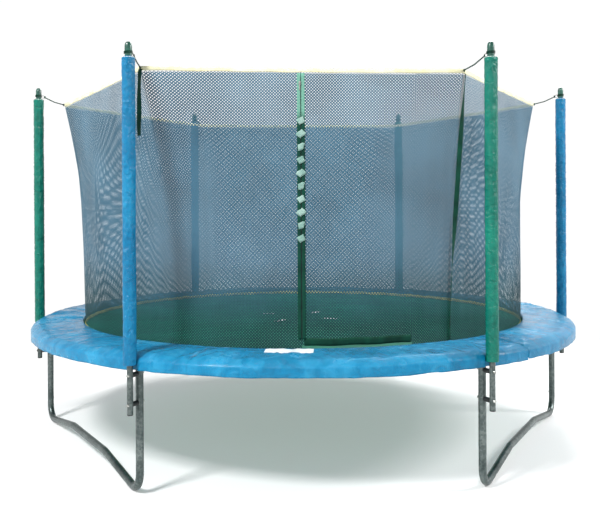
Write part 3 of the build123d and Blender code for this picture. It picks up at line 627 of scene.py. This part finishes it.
def stitchTree(material):
    # a small thread loop at every point of the carrier, turned to the carrier's "along" vectors
    tree, start, end = geometryTree("stitchRow", [
        ("Length", "NodeSocketFloat", 0.008), ("Thread", "NodeSocketFloat", 0.0011)])
    tree.interface.items_tree["Length"].subtype = "DISTANCE"
    loop = addNode(tree, "GeometryNodeMeshCylinder", {
        "Vertices": 6, "Radius": start.outputs["Thread"], "Depth": start.outputs["Length"]})
    along = addNode(tree, "GeometryNodeInputNamedAttribute", {"Name": "along"}, data_type="FLOAT_VECTOR")
    aim = addNode(tree, "FunctionNodeAlignRotationToVector", {"Vector": along.outputs["Attribute"]}, axis="Z")
    copies = addNode(tree, "GeometryNodeInstanceOnPoints", {
        "Points": start.outputs["Geometry"], "Instance": loop.outputs["Mesh"],
        "Rotation": aim.outputs["Rotation"]})
    real = addNode(tree, "GeometryNodeRealizeInstances", {"Geometry": copies.outputs["Instances"]})
    paint = addNode(tree, "GeometryNodeSetMaterial", {
        "Geometry": real.outputs["Geometry"], "Material": material})
    tree.links.new(paint.outputs["Geometry"], end.inputs["Geometry"])
    return tree


def pointCarrier(name, points, directions):
    mesh = bpy.data.meshes.new(name)
    mesh.from_pydata([tuple(p) for p in points], [], [])
    along = mesh.attributes.new("along", "FLOAT_VECTOR", "POINT")
    along.data.foreach_set("vector", np.asarray(directions, np.float32).ravel())
    return mesh


stitch = {"pitch": 0.012, "length": 0.008, "thread": 0.0009, "fromSeam": 0.007, "fromEdge": 0.03}
stitchRows = stitchTree(whiteThread)
stitchRadii = np.arange(pad["inner"] + stitch["fromEdge"], pad["outer"] - stitch["fromEdge"], stitch["pitch"])
spots, ways = [], []
for angle, _ in places.values():
    for offset in (-stitch["fromSeam"], stitch["fromSeam"]):
        for radius in stitchRadii:
            turnTo = angle + pad["seamTurn"] + degrees(offset / radius)
            turnTo -= 360.0 if turnTo > 310.0 else 0.0  # the first pad section starts at -50 degrees
            spots.append(polar(radius, turnTo, padTop(radius, turnTo) + 0.0004))
            ways.append(polar(1.0, turnTo, -0.05))
padStitches = grown("pad_stitches", stitchRows, {"Length": stitch["length"], "Thread": stitch["thread"]},
                    pointCarrier("padStitchPoints", spots, ways))
dressed(padStitches, finishes["strap_green"], "frame", "strap_green")


# Blank label on the pad
labelSize = {
    "length": 0.255, "width": 0.105, "angle": 265.8, "radius": 1.628,
    "rows": 27, "columns": 65, "layers": (0.0016, 0.0022),  # heights of its two faces over the vinyl
}
labelRows, labelColumns = labelSize["rows"], labelSize["columns"]
verts = []
for layer in labelSize["layers"]:
    for i in range(labelRows):
        for j in range(labelColumns):
            radius = labelSize["radius"] + labelSize["width"] * (i / (labelRows - 1) - 0.5)
            along = labelSize["length"] * (j / (labelColumns - 1) - 0.5)
            angle = labelSize["angle"] + degrees(along / radius)
            verts.append(polar(radius, angle, padTop(radius, angle) + layer))
under = gridFaces(labelRows, labelColumns)
total = labelRows * labelColumns
rim = [i * labelColumns for i in range(labelRows)]
rim += [total - labelColumns + j for j in range(1, labelColumns)]
rim += [i * labelColumns + labelColumns - 1 for i in range(labelRows - 2, -1, -1)]
rim += list(range(labelColumns - 2, 0, -1))
walls = [(a, b, b + total, a + total) for a, b in zip(rim, rim[1:] + rim[:1])]
label = outward(meshPiece("blank_label", verts, np.concatenate([under, under + total, np.array(walls)])))
dressed(label, finishes["label_white"], "frame", "label_white", "label_patch")


# Pole sleeves: glossy vinyl tubes over foam, gathered at the top
sleeve = {
    "bottom": 0.697, "top": 2.2915, "radius": 0.0344, "neck": 0.0192, "foam": 0.0323, "gather": 0.10,
    "around": 48, "rows": 340, "crease": 0.0026, "pleat": 0.0012, "pleats": 15, "seamTurn": 150,
    "hem": ((0.0322, 0.014), (0.0325, 0.002), (0.0338, 0.0)),  # radius, height over the bottom
    "crown": ((0.0335, 0.009), (0.030, 0.005), (0.0245, 0.002), (0.0192, 0.0)),  # radius, depth under the top
}


def poleSleeve(name, angle, slot):
    centre = polar(poleRadius, angle)
    seed = angle / placeStep * 3.7
    hemRows, crownRows = len(sleeve["hem"]), len(sleeve["crown"])
    verts, uv = [], []
    rows = [(radius, sleeve["bottom"] + rise) for radius, rise in sleeve["hem"]]
    for t in np.linspace(0, 1, sleeve["rows"]):
        height = sleeve["bottom"] + 0.002 + (sleeve["top"] - 0.016 - sleeve["bottom"]) * t
        rows.append((sleeve["radius"], height))
    rows += [(radius, sleeve["top"] - depth) for radius, depth in sleeve["crown"]]
    for k, (radius, height) in enumerate(rows):
        crownPart = k >= len(rows) - crownRows
        body = 1.0 if k >= hemRows and not crownPart else 0.25
        gather = max(0.0, 1 - (sleeve["top"] - height) / sleeve["gather"])
        for j in range(sleeve["around"]):
            a = 2 * pi * j / sleeve["around"]
            x, y = cos(a), sin(a)
            # ridges every 50 mm, crisp creases every 21 mm and long waves of 0.3 and 0.45 m up the pole
            ridge = 1 - 2 * abs(noise.noise((x * 1.3 + seed, y * 1.3 + height * 9.0, height / 0.050)))
            soft = noise.noise((x * 0.6, y * 0.6 + seed, height / 0.30))
            long = noise.noise((x * 2.6 + seed, y * 2.6, height / 0.45))
            crisp = 0.5 - abs(noise.noise((x * 2.2, y * 2.2 + seed, height / 0.021 + x * 2.0))) * 2
            seamTo = abs((a - radians(angle + sleeve["seamTurn"]) + pi) % (2 * pi) - pi)
            seam = 0.0022 * exp(-(seamTo / 0.10) ** 2) - 0.0012 * exp(-((seamTo - 0.22) / 0.08) ** 2)
            pleat = sleeve["pleat"] * cos(sleeve["pleats"] * a + seed) * gather
            crease = sleeve["crease"] * (0.55 * ridge + 0.6 * soft + 0.6 * long + 0.5 * crisp)
            size = radius + body * (crease - 0.0008 + seam) + pleat
            size = max(size, sleeve["neck"] if crownPart else sleeve["foam"])
            verts.append((centre.x + x * size, centre.y + y * size, height))
            uv.append((a * radius, height))
    faces = gridFaces(len(rows), sleeve["around"], closeColumns=True)
    piece = outward(meshPiece(f"sleeve_{name}", verts, faces, uv))
    dressed(piece, finishes[slot], "frame", slot, f"pole_sleeve_{name}")


for name, (angle, _) in places.items():
    poleSleeve(name, angle, slots[f"pole_sleeve_{name}"])
print("sleeves done")


# The net: real strands, in diamonds
net = {
    "bottom": 0.7425, "top": 2.233, "bottomRadius": 1.516, "pitch": 0.0115, "open": 0.50,
    "midRadius": 1.53, "tapeRadius": 1.55, "doorBottom": 0.766, "doorTop": 2.233 - 0.003,
    "zipAngle": 268.14, "hingeAngle": 291.52,
}
corners = np.array([corner for _, corner in places.values()])


def rimRadius(angles):
    # radius of the top edge, which runs straight from corner to corner
    angles = np.asarray(angles, float) % 360.0
    index = (angles // placeStep).astype(int) % 6
    first = corners[index]
    second = corners[(index + 1) % 6]
    share = np.radians(angles - index * placeStep)
    span = radians(placeStep)
    # a point of the chord at this angle, by the sine rule
    return first * second * sin(span) / (second * np.sin(span - share) + first * np.sin(share))


def netPoint(angles, heights, out=0.0):
    # the net is round below, and is pulled out to its corners only near the top
    t = (np.asarray(heights) - net["bottom"]) / (net["top"] - net["bottom"])
    t = np.clip(t, 0.0, 1.02)
    roundRadius = net["bottomRadius"] + 0.016 * t
    pull = rimRadius(angles) - roundRadius
    corner = np.clip((t - 0.2) / 0.8, 0, None) ** 1.6
    weight = np.where(pull > 0, corner, t)
    near = (np.asarray(angles) + 30.0) % placeStep - 30.0
    tension = np.exp(-(near / 9.0) ** 2) * np.sin(near * 1.9) * 0.006 * t * (1 - t) * 4
    sway = 0.005 * np.sin(np.radians(angles) * 17 + 3.0 * t) * np.sin(np.pi * np.clip(t, 0, 1))
    radius = roundRadius + pull * weight + tension + sway + out
    a = np.radians(angles)
    return np.stack([radius * np.cos(a), radius * np.sin(a), np.asarray(heights, float) + 0 * a], -1)


def netPanel(name, node, first, last, low=net["bottom"], high=net["top"], body=None):
    # each cell is a diamond with a hole; without a body of its own the panel stretches from frame to mat
    half = net["pitch"] / sqrt(2)
    width = radians(last - first) * net["midRadius"]
    columns = int(round(width / half / 2)) * 2
    rows = int(round((high - low) / half / 2)) * 2
    i, j = np.meshgrid(np.arange(columns + 1), np.arange(rows + 1), indexing="ij")
    points = netPoint(first + (last - first) * i / columns, low + (high - low) * j / rows)
    ci, cj = np.meshgrid(np.arange(0, columns + 1), np.arange(1, rows), indexing="ij")
    odd = (ci + cj) % 2 == 1
    ci, cj = ci[odd], cj[odd]
    ring = [(np.maximum(ci - 1, 0), cj), (ci, cj - 1), (np.minimum(ci + 1, columns), cj), (ci, cj + 1)]
    used = np.full(points.shape[:2], -1)
    for a, b in ring:
        used[a, b] = 0
    used[used == 0] = np.arange((used == 0).sum())
    outer = points[used >= 0]
    order = np.stack([used[a, b] for a, b in ring], -1)
    middle = (points[ring[0]] + points[ring[2]]) / 2
    inner = np.stack([middle + (points[a, b] - middle) * net["open"] for a, b in ring], 1)
    innerIndex = len(outer) + np.arange(inner.shape[0] * 4).reshape(-1, 4)
    faces = []
    for k in range(4):
        n = (k + 1) % 4
        faces.append(np.stack([order[:, k], order[:, n], innerIndex[:, n], innerIndex[:, k]], -1))
    piece = meshPiece(name, np.concatenate([outer, inner.reshape(-1, 3)]), np.concatenate(faces))
    dressed(piece, finishes["net_mesh"], body, "net_mesh", node)
    if not body:
        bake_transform(piece)


zipAngle, hingeAngle = net["zipAngle"], net["hingeAngle"]
for number in (1, 2, 3, 4, 6):
    start = (number - 1) * placeStep
    netPanel(f"net_side_{number}", f"net_panel_{number}", start, start + placeStep)
netPanel("net_front_part_left", "net_front_left", places["front_left"][0], zipAngle)
netPanel("net_front_part_right", "net_front_right", hingeAngle, places["front_right"][0])
netPanel("net_door_flap", "net_door", zipAngle, hingeAngle, net["doorBottom"], net["doorTop"], "door")
print("net done")


# Tapes of the net
def band(name, angles, low, high, out, wall, closed=False, sag=0.0):
    # an upright tape that follows the net, out from it by out, with thickness wall
    angles = np.asarray(angles, float)
    near = (angles + 30.0) % placeStep - 30.0
    dip = sag * (1 - (np.abs(near) / 30.0 - 1) ** 2) + 0.0015 * np.sin(np.radians(angles) * 41)
    sheets = []
    for offset, heights in ((out, np.linspace(low, high, 4)), (out + wall, np.linspace(high, low, 4))):
        for height in heights:
            ring = netPoint(angles, np.full(len(angles), height), offset)
            ring[:, 2] -= dip
            sheets.append(ring)
    verts = np.stack(sheets, 1)
    run = np.radians(angles) * net["tapeRadius"]
    across = np.concatenate([np.linspace(0, high - low, 4), np.linspace(high - low, 0, 4)])
    uv = np.stack(np.broadcast_arrays(run[:, None], across[None, :]), -1)
    faces = gridFaces(len(angles), 8, closeRows=closed, closeColumns=True)
    if not closed:
        last = (len(angles) - 1) * 8
        ends = [(at + k, at + k + 1, at + 6 - k, at + 7 - k) for at in (0, last) for k in range(3)]
        faces = np.concatenate([faces, np.array(ends)])
    return outward(meshPiece(name, verts.reshape(-1, 3), faces, uv.reshape(-1, 2)))


tapes = {  # lower and upper edge, distance out from the net, thickness
    "top": (2.2335, 2.2555, -0.0015, 0.003),
    "hem": (0.7205, net["bottom"], -0.001, 0.002),
    "door": (net["doorBottom"], 0.806, 0.0015, 0.0016),
}
turns = np.arange(0, 360, 1.5)
doorTurns = np.linspace(zipAngle + 0.5, hingeAngle - 0.2, 60)
topTape = band("top_tape", turns, *tapes["top"], closed=True, sag=0.004)
dressed(topTape, finishes["tape_cream"], "frame", "tape_cream", "net_top_tape")
hem = band("bottom_hem", turns, *tapes["hem"], closed=True)
dressed(hem, oliveTape, "mat", "strap_green", "net_bottom_hem")
doorHem = band("door_hem", doorTurns, *tapes["door"])
dressed(doorHem, finishes["strap_green"], "door", "strap_green")


def alongNet(angle, low, high, count, out):
    heights = np.linspace(low, high, count)
    return netPoint(np.full(count, angle), heights, out)


strip = {
    "width": 0.0195, "wall": 0.0014, "low": 0.80, "high": 2.225, "steps": 90, "out": 0.0035, "radius": 1.51,
    "gap": 0.05, "twist": 3.0, "cup": 0.0006,
}
halfStrip = degrees(strip["width"] / 2 / strip["radius"])
for side, name, body in ((-1, "fixed", "frame"), (1, "door", "door")):
    way = alongNet(zipAngle + side * halfStrip + side * strip["gap"], strip["low"], strip["high"],
                   strip["steps"], strip["out"])
    half = ribbon(f"zip_strip_{name}", way, (1, 0, 0), strip["width"], strip["wall"],
                  strip["twist"], strip["cup"])
    dressed(half, paleStrip, body, "strap_green", f"zip_tape_{name}")

# pale hook-and-loop tabs close the strip every 70 mm
tab = {"from": 1.34, "to": 2.0, "pitch": 0.07, "width": 0.034, "wall": 0.0014, "out": 0.0068, "cup": 0.0008}
tabs = []
for k, height in enumerate(np.arange(tab["from"], tab["to"], tab["pitch"])):
    lean = 0.006 * sin(k * 2.1)
    ends = [(-0.62, -0.010 + lean), (-0.3, -0.004), (0.05, 0.0), (0.35, 0.005), (0.62, 0.008 - lean)]
    way = np.array([netPoint(zipAngle + turnBy, height + rise, tab["out"] + 0.001 * cos(turnBy * 2))
                    for turnBy, rise in ends])
    tabs.append(ribbon(f"tab{k}", way, (0, 0, 1), tab["width"], tab["wall"], 0.0, tab["cup"], 4))
dressed(joined("strip_tabs", tabs), tabCloth, "door", "strap_green")

# zip teeth down the middle of the strip
tooth = {"low": 0.81, "high": 2.20, "pitch": 0.007, "out": 0.0042, "length": 0.0055, "size": 0.0016}
teethHeights = np.arange(tooth["low"], tooth["high"], tooth["pitch"])
teethSpots = [netPoint(zipAngle, h, tooth["out"]) for h in teethHeights]
teeth = grown("zip_teeth", stitchRows, {"Length": tooth["length"], "Thread": tooth["size"]},
              pointCarrier("zipPoints", teethSpots, [(1, 0, 0)] * len(teethSpots)))
dressed(teeth, finishes["black_plastic"], "frame", "black_plastic")

cornerWeb = {
    "angle": 300.9, "low": 0.745, "high": 2.232, "steps": 120, "out": 0.0075, "bow": 0.012,
    "width": 0.026, "wall": 0.002, "faces": 390.0, "twist": 55.0, "cup": 0.001,
}
strapPoints = alongNet(cornerWeb["angle"], cornerWeb["low"], cornerWeb["high"],
                       cornerWeb["steps"], cornerWeb["out"])
strapPoints[:, 0] += cornerWeb["bow"] * np.sin(np.linspace(0, pi, cornerWeb["steps"]))
cornerStrap = ribbon("corner_webbing", strapPoints, polar(1.0, cornerWeb["faces"]), cornerWeb["width"],
                     cornerWeb["wall"], cornerWeb["twist"], cornerWeb["cup"])
dressed(cornerStrap, finishes["strap_green"], "frame", "strap_green", "corner_strap")
print("tapes done")


# Corner cords: two-strand twisted cord from each eye bolt to the tape
strand = {"sides": 8, "step": 0.004, "apart": 0.52, "size": 0.55}  # apart and size are shares of the radius


def twistedCord(name, points, radius, turnEvery):
    points = np.asarray(points, float)
    run = np.concatenate([[0], np.cumsum(np.linalg.norm(np.diff(points, axis=0), axis=1))])
    count = max(12, int(run[-1] / strand["step"]))
    marks = np.linspace(0, run[-1], count)
    path = np.stack([np.interp(marks, run, points[:, k]) for k in range(3)], -1)
    sides = strand["sides"]
    ends = np.array([(0, 1, 2, 3), (0, 3, 4, 7), (4, 5, 6, 7)])
    faces = np.concatenate([gridFaces(count, sides, closeColumns=True), ends, ends + (count - 1) * sides])
    strands = []
    for phase in (0, pi):
        verts = []
        for k, mark in enumerate(marks):
            ahead = Vector(path[min(k + 1, count - 1)] - path[max(k - 1, 0)]).normalized()
            side = ahead.cross(Vector((0, 0, 1))).normalized()
            up = side.cross(ahead)
            a = 2 * pi * mark / turnEvery + phase
            middle = Vector(path[k]) + (side * cos(a) + up * sin(a)) * radius * strand["apart"]
            for s in range(sides):
                b = 2 * pi * s / sides
                verts.append(middle + (side * cos(b) + up * sin(b)) * radius * strand["size"])
        strands.append(outward(meshPiece(f"{name}Strand", verts, faces)))
    return joined(name, strands)


tie = {
    "eyeIn": 0.040, "eyeHeight": 2.3015, "tapeOut": 0.004, "tapeHeight": 2.246, "sag": 0.05, "radius": 0.0042,
    "lay": 0.022, "knot": 0.003, "knotLay": 0.02, "wrap": 0.0028, "wrapRadius": 0.0215, "wrapRise": 0.0035,
    "wrapHeight": 2.303,
}
cordPieces = []
for name, (angle, cornerRadius) in places.items():
    eye = polar(poleRadius - tie["eyeIn"], angle, tie["eyeHeight"])
    end = polar(cornerRadius + tie["tapeOut"], angle, tie["tapeHeight"])
    sagPoint = (eye + end) / 2 - Vector((0, 0, tie["sag"] * (end - eye).length))
    cordLine = [eye, (eye * 0.45 + sagPoint * 0.55), sagPoint, (end * 0.55 + sagPoint * 0.45), end]
    cordPieces.append(twistedCord(f"cord_{name}", cordLine, tie["radius"], tie["lay"]))
    across = polar(1.0, angle + 90)
    # a loose knot at each end of the cord: its place and radius
    for spot, size in ((eye - polar(0.004, angle), 0.0075), (end + polar(0.006, angle), 0.007)):
        loop = []
        for b in np.linspace(0, 2 * pi * 0.97, 14):
            circle = (polar(1.0, angle) * cos(b) * 0.4 + Vector((0, 0, 1)) * sin(b)) * size
            loop.append(spot + circle + across * 0.002 * sin(b * 2))
        cordPieces.append(twistedCord(f"knot_{name}_{len(cordPieces)}", loop, tie["knot"], tie["knotLay"]))
    neck = polar(poleRadius, angle, tie["wrapHeight"])
    wrap = [neck + Vector((cos(b), sin(b), 0)) * tie["wrapRadius"] + Vector((0, 0, tie["wrapRise"] * b / pi))
            for b in np.linspace(0, 4 * pi, 40)]
    cordPieces.append(twistedCord(f"wrap_{name}", wrap, tie["wrap"], tie["knotLay"]))
dressed(joined("corner_ties", cordPieces), finishes["strap_green"], "frame", "strap_green", "corner_cords")
print("cords done")


# Jumping mat: woven disc with a webbing border, loops and a stitched centre mark
mat = {
    "radius": 1.590, "height": 0.7165, "border": 0.045, "rings": 46, "around": 360, "dip": 0.006,
    "middle": 0.02, "wave": 0.0012, "borderRing": 0.02, "borderRadius": 1.57,
}
radii = np.linspace(mat["middle"], mat["radius"] - mat["border"], mat["rings"])
radii = np.concatenate([radii, [mat["radius"] - mat["borderRing"], mat["radius"]]])
verts = []
for radius in radii:
    for j in range(mat["around"]):
        a = 2 * pi * j / mat["around"]
        x, y = radius * cos(a), radius * sin(a)
        height = mat["height"] - mat["dip"] * (1 - (radius / mat["radius"]) ** 2)
        height += mat["wave"] * noise.noise((x * 3, y * 3, 2.0))
        verts.append((x, y, height))
faces = [tuple(f) for f in gridFaces(len(radii), mat["around"], closeColumns=True)]
faces.append(tuple(range(mat["around"]))[::-1])
matPiece = mixedPiece("mat_weave", verts, faces)
if matPiece.data.polygons[0].normal.z < 0:
    matPiece.data.flip_normals()
dressed(matPiece, finishes["mat_fabric"], "mat", "mat_fabric", "jumping_mat")

borderOutline = (  # radius and height round the webbing's section
    (1.5455, 0.7172), (1.5675, 0.7176), (1.5895, 0.7172),
    (1.5905, 0.7155), (1.5675, 0.7150), (1.5455, 0.7155),
)
borderTurns = np.linspace(0, 360, 361)[:-1]
verts = [polar(r, a, h) for a in borderTurns for r, h in borderOutline]
uv = [(radians(a) * mat["borderRadius"], r) for a in borderTurns for r, h in borderOutline]
borderFaces = gridFaces(len(borderTurns), len(borderOutline), closeRows=True, closeColumns=True)
border = outward(meshPiece("mat_border", verts, borderFaces, uv))
dressed(border, finishes["strap_green"], "mat", "strap_green")

# a webbing loop from the mat's top, round each V-ring's bar and back under
loopOutline = (
    (1.548, 0.7185), (1.575, 0.7188), (1.5835, 0.7150), (1.5845, 0.7085), (1.5815, 0.7038),
    (1.576, 0.7035), (1.5715, 0.707), (1.566, 0.7135), (1.550, 0.7143),
)
loopSize = {"width": 0.024, "wall": 0.0014}
springCount = 72
springStep = 360.0 / springCount
loops = []
for k in range(springCount):
    angle = springStep / 2 + springStep * k
    points = [polar(r, angle, h) for r, h in loopOutline]
    across = polar(1.0, angle + 90)
    loops.append(ribbon(f"loop{k}", points, across, loopSize["width"], loopSize["wall"], across=2))
dressed(joined("v_ring_loops", loops), finishes["strap_green"], "mat", "strap_green")

# stitched dashes round the middle: both ends of each, in metres
mark = {"height": 0.7140, "width": 0.034, "rise": 0.0020, "cup": 0.0004}
dashEnds = (((-0.292, 0.207), (-0.202, 0.201)), ((-0.193, -0.220), (-0.130, -0.124)),
            ((0.082, 0.211), (0.131, 0.295)), ((0.142, -0.065), (0.238, -0.122)))
dashes = []
for k, ends in enumerate(dashEnds):
    first, last = (Vector((*end, mark["height"])) for end in ends)
    points = [first.lerp(last, share) for share in np.linspace(0, 1, 8)]
    side = (last - first).cross(Vector((0, 0, 1)))
    dashes.append(ribbon(f"dash{k}", points, side, mark["width"], mark["rise"], 0.0, mark["cup"], 4))
dressed(joined("mat_mark", dashes), whiteThread, "mat", "mat_fabric")
print("mat done")


# Springs: real coils by geometry nodes, in pairs
coil = {
    "inner": 1.616, "outer": 1.772, "height": 0.712, "radius": 0.0092, "wire": 0.0015, "turns": 30,
    # each hook as radius and height over the coil's axis
    "innerHook": ((1.620, 0.008), (1.614, 0.004), (1.606, 0),
                  (1.6015, -0.0015), (1.600, -0.005), (1.600, -0.009)),
    "outerHook": ((1.768, 0.008), (1.774, 0.004), (1.784, 0),
                  (1.7955, -0.0005), (1.7975, -0.004), (1.7975, -0.009)),
    "frameEnd": 1.790, "matEnd": 1.606,
}


def springTree(material):
    tree, start, end = geometryTree("coilSpring", [
        ("Turns", "NodeSocketFloat", 30.0), ("Radius", "NodeSocketFloat", 0.009),
        ("Length", "NodeSocketFloat", 0.15), ("Wire", "NodeSocketFloat", 0.0015)])
    spiral = addNode(tree, "GeometryNodeCurveSpiral", {
        "Resolution": 10, "Rotations": start.outputs["Turns"], "Start Radius": start.outputs["Radius"],
        "End Radius": start.outputs["Radius"], "Height": start.outputs["Length"]})
    wire = addNode(tree, "GeometryNodeCurvePrimitiveCircle", {
        "Resolution": 5, "Radius": start.outputs["Wire"]})
    tube = addNode(tree, "GeometryNodeCurveToMesh", {
        "Curve": spiral.outputs["Curve"], "Profile Curve": wire.outputs["Curve"], "Fill Caps": True})
    real = addNode(tree, "GeometryNodeRealizeInstances", {"Geometry": tube.outputs["Mesh"]})
    paint = addNode(tree, "GeometryNodeSetMaterial", {
        "Geometry": real.outputs["Geometry"], "Material": material})
    tree.links.new(paint.outputs["Geometry"], end.inputs["Geometry"])
    return tree


def wireTube(points, radius, sides=6):
    verts = []
    for k, point in enumerate(points):
        ahead = (points[min(k + 1, len(points) - 1)] - points[max(k - 1, 0)]).normalized()
        side = Vector((0, 1, 0)) if abs(ahead.y) < 0.9 else Vector((0, 0, 1))
        up = side.cross(ahead).normalized()
        side = ahead.cross(up)
        turnsRound = [2 * pi * s / sides for s in range(sides)]
        verts += [point + (side * cos(b) + up * sin(b)) * radius for b in turnsRound]
    faces = [tuple(f) for f in gridFaces(len(points), sides, closeColumns=True)]
    faces += [tuple(range(sides)), tuple(range((len(points) - 1) * sides, len(points) * sides))[::-1]]
    return np.array([tuple(v) for v in verts]), faces


single = grown("springCoil", springTree(finishes["spring_steel"]), {
    "Turns": float(coil["turns"]), "Radius": coil["radius"], "Length": coil["outer"] - coil["inner"],
    "Wire": coil["wire"]})
coilVerts = np.array([v.co for v in single.data.vertices])
allFaces = [tuple(p.vertices) for p in single.data.polygons]
bpy.data.objects.remove(single)
# the coil lies along x from the inner to the outer end, with a hook at each
allVerts = np.stack([coil["inner"] + coilVerts[:, 2], coilVerts[:, 0], coil["height"] + coilVerts[:, 1]], -1)
for hook in (coil["innerHook"], coil["outerHook"]):
    hookLine = [Vector((radius, 0, coil["height"] + rise)) for radius, rise in hook]
    hookVerts, hookFaces = wireTube(hookLine, coil["wire"])
    allFaces += [tuple(i + len(allVerts) for i in f) for f in hookFaces]
    allVerts = np.concatenate([allVerts, hookVerts])
for pair in range(springCount // 2):
    middle = springStep + 2 * springStep * pair
    parts, faces = [], []
    for angle in (middle - springStep / 2, middle + springStep / 2):
        c, s = cos(radians(angle)), sin(radians(angle))
        x, y, z = allVerts.T
        faces += [tuple(i + len(parts) * len(allVerts) for i in f) for f in allFaces]
        parts.append(np.stack([x * c - y * s, x * s + y * c, z], -1))
    piece = mixedPiece(f"spring_pair_{pair + 1}", np.concatenate(parts), faces)
    dressed(piece, finishes["spring_steel"], None, "spring_steel", "springs")
    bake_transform(piece)
print("springs done")
